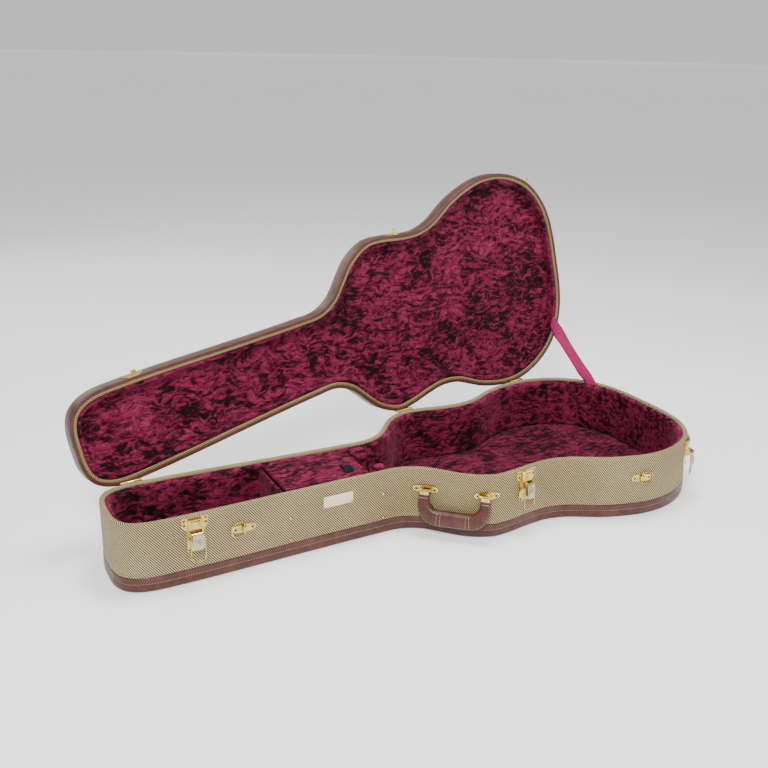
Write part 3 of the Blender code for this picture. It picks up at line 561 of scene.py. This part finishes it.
def field(name, inset, step, height, thickness, material):
    """A panel of the case's shape: height(x, y, distance in) is its upper face."""
    xs = np.arange(-0.562, 0.562 + step, step)
    ys = np.arange(-0.228, 0.228 + step, step)
    gx, gy = np.meshgrid(xs, ys, indexing="ij")
    depth = edge_distance(gx, gy)
    keep = depth >= inset
    index = -np.ones(gx.shape, int)
    index[keep] = np.arange(keep.sum())
    top = [
        (x, y, height(x, y, d))
        for x, y, d in zip(gx[keep], gy[keep], depth[keep])
    ]
    faces, uvs = [], []
    for i in range(len(xs) - 1):
        for k in range(len(ys) - 1):
            corners = [(i, k), (i + 1, k), (i + 1, k + 1), (i, k + 1)]
            quad = [int(index[c]) for c in corners]
            if min(quad) >= 0:
                faces.append(quad)
                uvs += [(gx[c], gy[c]) for c in corners]
    made = mesh_object(name, top, faces, material, uvs)
    shell = made.modifiers.new("thickness", "SOLIDIFY")
    shell.thickness = thickness
    shell.offset = -1.0
    return apply_modifiers(made)


def apply_modifiers(piece):
    bpy.context.view_layer.update()
    evaluated = piece.evaluated_get(bpy.context.evaluated_depsgraph_get())
    mesh = bpy.data.meshes.new_from_object(evaluated)
    piece.modifiers.clear()
    piece.data = mesh
    return piece


def smoothstep(value, low, high):
    t = min(1.0, max(0.0, (value - low) / (high - low)))
    return t * t * (3 - 2 * t)


def tube_faces(rows, sides, start=0):
    """Faces of a closed tube whose points run round its rows, one row after another."""
    faces = []
    for row in range(rows - 1):
        near = start + row * sides
        far = near + sides
        for i in range(sides):
            after = (i + 1) % sides
            faces.append((near + i, near + after, far + after, far + i))
    last = start + (rows - 1) * sides
    faces.append(tuple(range(last, last + sides)))
    faces.append(tuple(reversed(range(start, start + sides))))
    return faces


def lathe(radii):
    """Points and faces of a turned shape from (radius, height) pairs, closed at both ends."""
    sides = 14
    verts = []
    for radius, height in radii:
        for i in range(sides):
            angle = math.tau * i / sides
            verts.append((radius * math.cos(angle), -height, radius * math.sin(angle)))
    return verts, tube_faces(len(radii), sides)


def turned_set(name, spots, profile, body, material):
    """One piece with the same turned shape at each spot."""
    head, quads = lathe(profile)
    verts, faces = [], []
    for spot in spots:
        start = len(verts)
        verts += [spot @ Vector(v) for v in head]
        faces += [tuple(start + i for i in quad) for quad in quads]
    piece = mesh_object(name, verts, faces, material)
    finish_piece(piece, body, sharp=50)


def rivets(name, spots, radius, body):
    """Tubular rivets with rolled rims; their eyes are painted shade, near-black brass for the dark recess. -Y
    of each spot points outwards.
    """
    shapes = (
        (name, BRASS, ((1.0, -0.0004), (1.0, 0.0004), (0.92, 0.0009), (0.80, 0.0011), (0.66, 0.0009))),
        # the eyes: painted shade, a near-black disc standing for the dark recess
        (f"{name}_eyes", EYE_SHADE_BRASS, ((0.66, 0.0006), (0.64, 0.00105), (0.40, 0.00095), (0.10, 0.0009))),
    )
    for piece, look, profile in shapes:
        scaled = [(radius * share, height) for share, height in profile]
        turned_set(piece, spots, scaled, body, look)


def stitches(name, places, length, thickness, body, place=None, material=None):
    """A row of thread stitches; places holds (middle, direction, outward) triples."""
    verts, faces = [], []
    shape = (
        (-0.5, 0.35, -0.6), (-0.38, 0.8, 0.1), (-0.15, 1.0, 0.55),
        (0.15, 1.0, 0.55), (0.38, 0.8, 0.1), (0.5, 0.35, -0.6),
    )
    sides = 6
    for middle, direction, outward in places:
        middle = Vector(middle)
        direction = Vector(direction).normalized()
        outward = Vector(outward).normalized()
        across = direction.cross(outward).normalized()
        start = len(verts)
        for share, girth, lift in shape:
            for i in range(sides):
                angle = math.tau * i / sides
                ring = (across * math.cos(angle) + outward * math.sin(angle)) * thickness * girth
                verts.append(middle + direction * share * length + outward * lift * thickness + ring)
        faces += tube_faces(len(shape), sides, start)
    piece = mesh_object(name, verts, faces, material or CREAM_THREAD)
    finish_piece(piece, body, place=place, sharp=0)


def ring_stitches(name, inset, height, body, up=False, place=None, material=None):
    """Stitches round the whole case, on its side wall or, if up, on its top face."""
    places = []
    count = round(PERIMETER / STITCH_PITCH)
    for i in range(count):
        s = PERIMETER * i / count
        point, into = at_station(s, inset)
        outward = (0, 0, 1) if up else (-into[0], -into[1], 0)
        places.append(((*point, height), (into[1], -into[0], 0), outward))
    stitches(name, places, 0.0035, 0.00032, body, place, material)


CLOTH_VOXEL = 0.004
CLOTH_PRESSURE = 4.0
CLOTH_FRAMES = 20
MOST_TRAVEL = 0.004
SHRUNK_BY = 0.0015
MOST_PAST_CAD = 0.0005


def puff(node, name, body):
    """Plush padding grown by cloth pressure from a slightly shrunken copy of a CAD solid."""
    mesh = NODES[node].data.copy()
    mesh.materials.clear()
    mesh.materials.append(PLUSH)
    made = linked(name, mesh)
    low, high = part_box(node)
    middle = (low + high) / 2
    span = high - low
    shrink = Matrix.Diagonal((*[max(0.5, 1 - 2 * SHRUNK_BY / s) for s in span], 1.0))
    mesh.transform(Matrix.Translation(middle) @ shrink @ Matrix.Translation(-middle))
    remesh = made.modifiers.new("remesh", "REMESH")
    remesh.mode = "VOXEL"
    remesh.voxel_size = CLOTH_VOXEL
    apply_modifiers(made)
    start = np.array([v.co for v in made.data.vertices])
    inflate(made)
    moved = np.array([v.co for v in made.data.vertices]) - start
    travel = np.linalg.norm(moved, axis=1)
    moved *= (np.minimum(travel, MOST_TRAVEL) / np.maximum(travel, 1e-9))[:, None]
    inside = np.clip(start + moved, np.array(low) - MOST_PAST_CAD, np.array(high) + MOST_PAST_CAD)
    made.data.vertices.foreach_set("co", inside.astype(np.float32).ravel())
    smoothing = made.modifiers.new("relax", "SMOOTH")
    smoothing.factor = 0.5
    smoothing.iterations = 2
    finer = made.modifiers.new("finer", "SUBSURF")
    finer.levels = 1
    finer.render_levels = 1
    apply_modifiers(made)
    shade_smooth(made.data)
    finish_piece(made, body, (node,), sharp=0)


def covered_board(node, name, body):
    """A board wrapped in plush: soft round edges and a slightly uneven face."""
    low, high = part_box(node)
    shape = bmesh.new()
    bmesh.ops.create_cube(shape, size=1.0)
    bmesh.ops.scale(shape, vec=high - low, verts=shape.verts)
    bmesh.ops.translate(shape, vec=(low + high) / 2, verts=shape.verts)
    bmesh.ops.bevel(shape, geom=shape.edges[:], offset=0.0022, segments=4, profile=0.5, affect="EDGES")
    long_edges = [e for e in shape.edges if e.calc_length() > 0.02]
    bmesh.ops.subdivide_edges(shape, edges=long_edges, cuts=24, use_grid_fill=True)
    for vert in shape.verts:
        vert.co += vert.normal * 0.0003 * (crumple(vert.co, 0.022, 6.0) - 0.6)
    mesh = bpy.data.meshes.new(name)
    shape.to_mesh(mesh)
    shape.free()
    mesh.materials.append(PLUSH)
    shade_smooth(mesh)
    made = linked(name, mesh)
    finish_piece(made, body, (node,), sharp=0)


def inflate(piece):
    """Runs a short cloth simulation under pressure, with gravity off, and keeps its result."""
    scene = bpy.context.scene
    cloth = piece.modifiers.new("cloth", "CLOTH")
    cloth.settings.use_pressure = True
    cloth.settings.uniform_pressure_force = CLOTH_PRESSURE
    cloth.settings.effector_weights.gravity = 0.0
    cloth.point_cache.frame_start = 1
    cloth.point_cache.frame_end = CLOTH_FRAMES
    for step in range(1, CLOTH_FRAMES + 1):
        scene.frame_set(step)
    apply_modifiers(piece)
    scene.frame_set(1)


# ---- base ------------------------------------------------
def base_shell():
    cover = rounded(
        [
            (0.0, BAND_TOP - 0.004), (0.0, RIM), (0.009, RIM), (0.0095, RIM - 0.012),
            (0.0080, RIM - 0.012), (0.0070, RIM - 0.0030), (0.0018, RIM - 0.0030), (0.0014, BAND_TOP - 0.004),
        ],
        (0, 0.0028, 0.0028, 0, 0, 0, 0, 0),
    )
    finish_piece(
        sweep_ring("base_tweed", cover, TWEED, refine=0.02), "base", ("base_tweed_cover",), sharp=60
    )
    band = rounded(
        [
            (-0.0009, 0.0), (-0.0009, BAND_TOP), (0.0012, BAND_TOP + 0.0004), (0.0012, 0.0030),
            (0.014, 0.0030), (0.014, 0.0),
        ],
        (0.0035, 0.0009, 0, 0, 0, 0),
    )
    finish_piece(sweep_ring("base_band", band, LEATHER), "base", ("base_leather_band",), sharp=50)
    ring_stitches("base_band_stitches", -0.0008, 0.0143, "base", material=GREY_THREAD)
    ridge = rounded(
        [(-0.0013, 0.0118), (-0.0013, 0.0126), (0.0, 0.0126), (0.0, 0.0118)], (0.0003, 0.0003, 0, 0), 2
    )
    finish_piece(sweep_ring("base_band_crease", ridge, LEATHER), "base")
    welt = [
        (0.0004 + 0.0010 * math.cos(a), BAND_TOP + 0.0003 + 0.0010 * math.sin(a))
        for a in (math.radians(-45 * i) for i in range(8))
    ]
    finish_piece(sweep_ring("base_band_welt", welt, PIPING), "base", sharp=0)
    bottom = field("base_bottom", 0.0145, 0.008, lambda x, y, d: 0.0012, 0.0011, TWEED)
    finish_piece(bottom, "base", ("base_bottom_cover",))
    for name in ("base_wall", "base_bottom_panel", "lid_wall"):
        NODES[name].data.materials.clear()
        NODES[name].data.materials.append(PLY)


def base_linings():
    wall = rounded(
        [
            (0.0085, 0.012), (0.0085, RIM - 0.0035), (0.0175, RIM - 0.0050),
            (0.0185, 0.062), (0.0175, 0.012),
        ],
        (0, 0.0025, 0.0060, 0.02, 0),
    )
    lining = sweep_ring("base_wall_plush", wall, PLUSH, soft=0.0009, size=0.035, refine=0.008)
    finish_piece(lining, "base", ("base_wall_lining",), sharp=0)

    def floor_height(x, y, d):
        crown = 0.0030 * smoothstep(d, 0.016, 0.050)
        fold = 0.0007 * crumple((x, y, 0), 0.05, 2.0) + 0.0003 * crumple((x, y, 0), 0.014, 5.0)
        return 0.0128 + crown + fold

    # the floor pad wears the darker plush copy, painted shade for the bottom of the base
    floor = field("base_floor_plush", 0.010, 0.006, floor_height, 0.006, SHADED_PLUSH)
    finish_piece(floor, "base", ("base_floor_pad",), sharp=0)


def compartment():
    puff("neck_cradle", "cradle_plush", "base")
    covered_board("compartment_end_panel", "end_panel_plush", "base")
    covered_board("compartment_lid", "compartment_lid_plush", "compartment_lid")
    low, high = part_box("compartment_pull_tab")
    width = high.x - low.x
    rise = high.z - low.z
    arch = [
        (low.y, 0.0), (low.y + 0.002, 0.55 * rise), (low.y + 0.008, 0.94 * rise),
        (low.y + 0.016, 0.85 * rise), (high.y - 0.003, 0.45 * rise), (high.y, 0.0),
    ]
    route = smooth_loop(arch, 6, closed=False)
    middle = (low.x + high.x) / 2
    points = [Vector((middle, y, low.z + z + 0.0003)) for y, z in route]
    tab = band_mesh("pull_ribbon", points, [Vector((1, 0, 0))] * len(points), width, 0.0006, RIBBON)
    finish_piece(tab, "compartment_lid", ("compartment_pull_tab",), sharp=0)


def band_mesh(name, points, sides, width, thickness, material):
    """A flat band along points, with UVs in metres and its width along each side vector."""
    verts, faces, uvs = [], [], []
    travel = [0.0]
    for a, b in zip(points, points[1:]):
        travel.append(travel[-1] + (b - a).length)
    across = 6
    columns = across + 1
    for i, (point, side) in enumerate(zip(points, sides)):
        ahead = points[min(i + 1, len(points) - 1)] - points[max(i - 1, 0)]
        out = side.cross(ahead).normalized() * thickness / 2
        for sign in (1, -1):
            for k in range(columns):
                offset = side.normalized() * width * (k / across - 0.5)
                verts.append(point + offset + out * sign * (0.55 if k in (0, across) else 1.0))
    row = 2 * columns
    loop = list(range(columns)) + list(range(2 * columns - 1, columns - 1, -1))
    place = [width * (k / across - 0.5) for k in range(columns)]
    v_of = place + place[::-1]
    for i in range(len(points) - 1):
        near, far = i * row, (i + 1) * row
        for k in range(row):
            after = (k + 1) % row
            faces.append((near + loop[k], near + loop[after], far + loop[after], far + loop[k]))
            uvs += [(travel[i], v_of[k]), (travel[i], v_of[after])]
            uvs += [(travel[i + 1], v_of[after]), (travel[i + 1], v_of[k])]
    last = (len(points) - 1) * row
    for start, order in ((0, loop), (last, loop[::-1])):
        faces.append(tuple(start + k for k in order))
        uvs += [(travel[0 if start == 0 else -1], v_of[loop.index(k)]) for k in order]
    return mesh_object(name, verts, faces, material, uvs)


# ---- lid -------------------------------------------------
def lid_shell():
    panel_low = LID_TOP - 0.0055
    band = rounded(
        [
            (-LID_PROUD, LID_RIM), (-LID_PROUD, LID_TOP), (0.010, LID_TOP + 0.0002),
            (0.010, LID_TOP - 0.0012), (-LID_PROUD + 0.0015, LID_TOP - 0.0012),
            (-LID_PROUD + 0.0015, LID_RIM + 0.0014),
            (0.0002, LID_RIM + 0.0014), (0.0002, LID_RIM),
        ],
        (0.0016, 0.0035, 0.0007, 0, 0, 0, 0, 0.0005),
    )
    finish_piece(
        sweep_ring("lid_band", band, LEATHER), "lid", ("lid_leather_band",), OPENED, 60
    )
    ring_stitches("lid_band_stitches", -LID_PROUD + 0.0001, LID_TOP - 0.0075, "lid", place=OPENED)
    ring_stitches("lid_top_stitches", 0.0068, LID_TOP + 0.0002, "lid", up=True, place=OPENED)
    for height in (LID_RIM + 0.0055, LID_TOP - 0.0045):
        bead = [
            (-LID_PROUD + 0.0002 + 0.0007 * math.cos(a), height + 0.0007 * math.sin(a))
            for a in (math.radians(-60 * i) for i in range(6))
        ]
        name = f"lid_band_crease_{round(height * 1e4)}"
        finish_piece(sweep_ring(name, bead, PIPING), "lid", place=OPENED, sharp=0)
    face = rounded(
        [
            (0.0004, LID_RIM + 0.0001), (0.0004, LID_TOP - 0.010), (0.0098, LID_TOP - 0.010),
            (0.0098, LID_RIM + 0.0050), (0.0062, LID_RIM + 0.0042), (0.0058, LID_RIM + 0.0001),
        ],
        (0.0018, 0, 0, 0, 0, 0.0018),
    )
    finish_piece(
        sweep_ring("lid_rim_tweed", face, TAN_TWEED), "lid", ("lid_valance",), OPENED, 60
    )

    def top(x, y, d):
        return panel_low + 0.004 + LID_ARCH * smoothstep(d, 0.008, 0.034)

    panel = field("lid_top_tweed", -0.0035, 0.006, top, 0.0035, TWEED)
    finish_piece(panel, "lid", ("lid_top_panel",), OPENED)


def lid_linings():
    wall = rounded(
        [
            (0.0060, LID_RIM + 0.0030), (0.0090, LID_RIM + 0.0070), (0.0090, 0.1400),
            (0.0148, 0.1400), (0.0150, 0.1365), (0.0142, LID_RIM + 0.0034),
        ],
        (0, 0, 0, 0, 0, 0.0030),
    )
    lining = sweep_ring("lid_wall_plush", wall, PLUSH, soft=0.0006, size=0.03, refine=0.004)
    finish_piece(lining, "lid", ("lid_wall_lining",), OPENED, 0)

    def under(x, y, d):
        arch = LID_ARCH * smoothstep(d, 0.012, 0.040)
        fold = 0.0008 * crumple((x, y, 1), 0.045, 4.0) + 0.0004 * crumple((x, y, 1), 0.013, 9.0)
        return 0.1404 + arch + fold

    ceiling = field("lid_top_plush", 0.008, 0.006, under, 0.0026, PLUSH)
    finish_piece(ceiling, "lid", ("lid_top_lining",), OPENED, 0)


# ---- hardware --------------------------------------------
def paint(names, material):
    """Gives CAD nodes a material and smooth shading between their sharp edges."""
    for name in names:
        mesh = NODES[name].data
        mesh.materials.clear()
        mesh.materials.append(material)
        shade_smooth(mesh)
        mesh.set_sharp_from_angle(angle=math.radians(35))


def on_plate(base, x, z, out):
    """A frame at (x, z) on a plate, out from its back by that much."""
    return base @ Matrix.Translation((x, -out, z))


def latches():
    for number in (1, 2, 3):
        paint((f"latch_{number}_housing", f"latch_{number}_catch", f"latch_{number}_bail"), BRASS)
        paint((f"latch_{number}_lever", f"latch_{number}_pin"), SILVER)
        pivot = joint_frame(f"latch_{number}_lever_hinge")
        deep = max(v.y for v in points_from(pivot, f"latch_{number}_housing"))
        seat = pivot @ Matrix.Translation((0, deep, 0))
        spots = [on_plate(seat, x, z, LATCH_PLATE) for x in (-0.0175, 0.0175) for z in (0.0155, 0.0232)]
        spots += [on_plate(seat, x, -0.0285, LATCH_PLATE) for x in (-0.0105, 0.0105)]
        rivets(f"latch_{number}_rivets", spots, 0.0026, "base")
        deep = max(v.y for v in points_from(pivot, f"latch_{number}_catch", SHUT))
        seat = OPENED @ pivot @ Matrix.Translation((0, deep, 0))
        spots = [on_plate(seat, x, 0.0470, LATCH_PLATE) for x in (-0.0165, 0.0165)]
        rivets(f"latch_{number}_catch_rivets", spots, 0.0025, "lid")
    paint(("lock_plug",), BRASS)


def hinges():
    for number in (1, 2, 3):
        paint([f"hinge_{number}_{part}" for part in ("base_leaf", "lid_leaf", "pin")], BRASS)
        low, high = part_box(f"hinge_{number}_pin")
        hinge = frame_along(-Vector(LID_JOINT["axis"]), (low + high) / 2)
        deep = max(v.y for v in points_from(hinge, f"hinge_{number}_base_leaf"))
        spots = [on_plate(hinge, side, -0.019, LATCH_PLATE - deep) for side in (-0.013, 0.0, 0.013)]
        rivets(f"hinge_{number}_base_rivets", spots, 0.0022, "base")
        leaf = points_from(hinge, f"hinge_{number}_lid_leaf", SHUT)
        outer = min(v.y for v in leaf if v.z > 0.01)
        spots = [OPENED @ on_plate(hinge, side, 0.0200, -outer) for side in (-0.013, 0.0, 0.013)]
        rivets(f"hinge_{number}_lid_rivets", spots, 0.0022, "lid")


def strap_plates():
    for name, x in (("left", -0.352), ("right", 0.358)):
        paint((f"strap_plate_{name}", f"d_ring_{name}"), BRASS)
        low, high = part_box(f"strap_plate_{name}")
        seat = hardware_frame(f"strap_plate_{name}", x, (low.z + high.z) / 2)
        spots = [on_plate(seat, s, 0, STRAP_PLATE) for s in (-0.0145, 0.0145)]
        rivets(f"strap_plate_{name}_rivets", spots, 0.0027, "base")


def label():
    low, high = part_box("label_plate")
    x = (low.x + high.x) / 2
    seat = hardware_frame("label_plate", x, (low.z + high.z) / 2)
    half, tall, corner = 0.0275, 0.0100, 0.0025
    outline = rounded([(-half, -tall), (-half, tall), (half, tall), (half, -tall)], [corner] * 4, 3)
    layers = ((0.0, 1.0), (-0.0009, 1.0), (-0.0012, 0.985))
    verts = [
        seat @ Vector((px * scale, out, pz * scale)) for out, scale in layers for px, pz in outline
    ]
    plate = mesh_object("label_card", verts, tube_faces(len(layers), len(outline)), CARD)
    finish_piece(plate, "base", ("label_plate",))
    spots = [on_plate(seat, sx * 0.0247, sz * 0.0072, 0.0010) for sx in (-1, 1) for sz in (-1, 1)]
    rivets("label_pins", spots, 0.0011, "base")


def studs():
    for number in range(1, 5):
        node = f"wall_stud_{number}"
        low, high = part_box(node)
        x = (low.x + high.x) / 2
        seat = hardware_frame(node, x, (low.z + high.z) / 2)
        dome = [(0.0028, 0.0), (0.0028, 0.0003), (0.0024, 0.0009), (0.0016, 0.0014), (0.0006, 0.0016)]
        verts, faces = lathe(dome)
        head = mesh_object(f"{node}_head", [seat @ Vector(v) for v in verts], faces, BRASS)
        finish_piece(head, "base", (node,), sharp=50)


def handle():
    paint(("handle_bracket_left", "handle_bracket_right", "handle_link_left", "handle_link_right"), BRASS)
    for name, x in zip(("left", "right"), HANDLE_ENDS):
        node = f"handle_bracket_{name}"
        low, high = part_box(node)
        seat = hardware_frame(node, x, (low.z + high.z) / 2)
        spots = [on_plate(seat, s, 0, STRAP_PLATE) for s in (-0.0165, 0.0165)]
        rivets(f"handle_bracket_{name}_rivets", spots, 0.0027, "base")
    ends = [Vector((x, -half_width(x))) for x in HANDLE_ENDS]
    reach = (ends[1] - ends[0]).length / 2
    hung = joint_frame("handle_hinge", -1) @ Matrix.Rotation(-HANDLE_REST, 4, "X")
    half = [
        (-reach, -0.0071), (-reach, -0.0150), (-reach + 0.0012, -0.0260), (-reach + 0.0060, -0.0360),
        (-reach + 0.0145, -0.0435), (-reach + 0.0250, -0.0462), (-0.0120, -0.0466),
    ]
    path = smooth_loop(half + [(-x, z) for x, z in reversed(half)], 5, closed=False)
    count = len(path)
    tangent = np.gradient(path, axis=0)
    tangent /= np.linalg.norm(tangent, axis=1)[:, None]
    across = np.stack([-tangent[:, 1], tangent[:, 0]], 1)
    travel = np.concatenate([[0], np.cumsum(np.linalg.norm(np.diff(path, axis=0), axis=1))])
    share = np.minimum(travel, travel[-1] - travel)
    size = 0.64 + 0.36 * np.array([smoothstep(s, 0.0, 0.044) for s in share])
    size[[0, -1]] *= 0.9
    sides = 24
    verts = []
    for i in range(count):
        for k in range(sides):
            angle = math.tau * k / sides
            c, s = math.cos(angle), math.sin(angle)
            wide = 0.0142 * size[i] * math.copysign(abs(c) ** 0.62, c)
            deep = 0.0092 * size[i] * math.copysign(abs(s) ** 0.70, s)
            flat = path[i] + across[i] * wide
            verts.append(hung @ Vector((flat[0], deep, flat[1])))
    grip = mesh_object("grip_leather", verts, tube_faces(count, sides), LEATHER)
    finish_piece(grip, "handle", ("handle_grip",), sharp=60)

    def at(rows, s):
        return np.array([np.interp(s, travel, rows[:, k]) for k in (0, 1)])

    places = []
    for face in (-1, 1):
        for s in np.arange(0.006, travel[-1] - 0.005, 0.0050):
            ahead = at(tangent, s)
            scale = float(np.interp(s, travel, size))
            spot = at(path, s) - at(across, s) * 0.0108 * scale
            places.append((
                hung @ Vector((spot[0], face * 0.0082 * scale, spot[1])),
                hung.to_3x3() @ Vector((ahead[0], 0, ahead[1])),
                hung.to_3x3() @ Vector((0, face, 0)),
            ))
    stitches("grip_stitches", places, 0.0034, 0.00024, "handle", material=GREY_THREAD)
    bars = []
    rows = [(travel[-1] / 2 + s, 0.0100, 0.0090) for s in (-0.0285, -0.0225, 0.0225, 0.0285)]
    rows += [(0.0040, 0.0064, 0.0062), (travel[-1] - 0.0040, 0.0064, 0.0062)]
    for s, spread, front in rows:
        side = at(across, s)
        for step in range(7):
            spot = at(path, s) + side * spread * (step / 3 - 1)
            curve = 1 - 0.10 * (step / 3 - 1) ** 4
            bars.append((
                hung @ Vector((spot[0], -front * curve, spot[1])),
                hung.to_3x3() @ Vector((side[0], 0, side[1])),
                hung.to_3x3() @ Vector((0, -1, 0)),
            ))
    stitches("grip_cross_stitches", bars, 0.0030, 0.00028, "handle")


def stay():
    """The webbing that stops the lid, built once as it hangs between the base and the opened lid."""
    inset, station, reach, sunk = 0.0125, 0.522, 0.010, 0.020

    def inner(x):
        point, best = None, FAR
        for p, n in zip(LOOP, INWARD):
            q = p + n * inset
            if q[1] > 0 and abs(q[0] - x) < best:
                point, best = q, abs(q[0] - x)
        return Vector((x, float(point[1]), 0))

    near, far = inner(station - reach), inner(station + reach)
    along_wall = (far - near).normalized()
    middle = inner(station)
    start = Vector((middle.x, middle.y, RIM - 0.0030))
    finish = OPENED @ Vector((middle.x, middle.y, LID_RIM + 0.0030))
    along_lid = OPENED.to_3x3() @ along_wall
    steps = 24
    points, sides = [], []
    for i in range(steps + 1):
        t = i / steps
        sag = Vector((-0.2, -0.5, -0.4)) * 0.006 * math.sin(math.pi * t)
        points.append(start.lerp(finish, t) + sag)
        anchored = along_wall if t < 0.5 else along_lid
        sides.append(anchored.slerp(Vector((1, 0, 0)), smoothstep(min(t, 1 - t), 0.0, 0.34)))
    strap = band_mesh("stay_webbing", points, sides, STRAP_WIDTH, 0.0014, WEBBING)
    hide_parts("stay_strap")
    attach(strap, "base")
    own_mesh(strap)


# ---- stage -----------------------------------------------
AMBIENT = 0.46
FLOOR_ALBEDO = 0.82
FLOOR_GLOW = 0.36
FLOOR_HALF = 40.0
SKY = (0.97, 0.98, 1.0, 1)


def stage():
    """A pale floor that runs out to a glowing far wall, under soft lamps."""
    shape = bmesh.new()
    bmesh.ops.create_grid(shape, x_segments=2, y_segments=2, size=FLOOR_HALF)
    mesh = bpy.data.meshes.new("floor")
    shape.to_mesh(mesh)
    shape.free()
    floor = linked("floor", mesh)
    floor.location = (0, 0, -0.0004)
    made, tree, shader = new_material("floor", Roughness=0.75)
    shade = noise_of(tree, coordinates(tree, "Object"), 1.5, 2.0)
    stops = ((0.3, (0.81, 0.81, 0.80)), (0.7, (0.83, 0.83, 0.82)))
    connect(tree, shader, Base_Color=ramp(tree, shade, stops))
    shader.inputs["Emission Color"].default_value = SKY
    shader.inputs["Emission Strength"].default_value = FLOOR_GLOW
    shader.inputs["Specular IOR Level"].default_value = 0.0
    mesh.materials.append(made)

    wall_radius, wall_height, sides = 38.0, 9.0, 48
    turns = [math.tau * i / sides for i in range(sides)]
    rim = [(wall_radius * math.cos(a), wall_radius * math.sin(a)) for a in turns]
    verts = [(x, y, z) for z in (-0.01, wall_height) for x, y in rim]
    faces = [(i, (i + 1) % sides, sides + (i + 1) % sides, sides + i) for i in range(sides)]
    made, tree, shader = new_material("far_wall", Base_Color=(0, 0, 0, 1), Specular_IOR_Level=0.0)
    shader.inputs["Emission Color"].default_value = SKY
    shader.inputs["Emission Strength"].default_value = 0.98 * (AMBIENT * FLOOR_ALBEDO + FLOOR_GLOW)
    mesh_object("far_wall", verts, faces, made)

    world = bpy.data.worlds.new("studio")
    world.use_nodes = True
    sky = world.node_tree.nodes["Background"]
    sky.inputs[0].default_value = SKY
    sky.inputs[1].default_value = AMBIENT
    bpy.context.scene.world = world
    lamps = (
        ("key", (-1.1, -1.7, 2.0), 0.9, 84.0),
        ("fill", (1.8, -1.2, 1.3), 1.4, 18.0),
        ("top", (0.3, 0.2, 2.4), 1.0, 52.0),
        ("back", (-0.8, 2.0, 1.4), 1.5, 14.0),
    )
    for name, spot, size, power in lamps:
        data = bpy.data.lights.new(name, "AREA")
        data.shape = "DISK"
        data.size = size
        data.energy = power
        lamp = linked(name, data)
        lamp.location = spot
        lamp.rotation_mode = "QUATERNION"
        lamp.rotation_quaternion = (Vector((0, 0, 0.15)) - Vector(spot)).to_track_quat("-Z", "Y")


def camera():
    """From in front of the headstock end, looking down along the case by 19 degrees."""
    right = Vector((0.8780, -0.4782, 0.0203))
    up = Vector((0.1419, 0.3004, 0.9432))
    back = right.cross(up).normalized()
    data = bpy.data.cameras.new("camera")
    data.lens = 45.52
    data.sensor_width = 36.0
    data.shift_x = -0.0288
    data.shift_y = -0.0122
    data.clip_start = 0.01
    made = linked("camera", data)
    turned = Matrix((right, back.cross(right), back)).transposed().to_4x4()
    made.matrix_world = Matrix.Translation((-0.802, -1.418, 0.831)) @ turned
    bpy.context.scene.camera = made


camera()
stage()
base_shell()
base_linings()
compartment()
lid_shell()
lid_linings()
latches()
hinges()
strap_plates()
label()
studs()
handle()
stay()

bpy.context.view_layer.update()
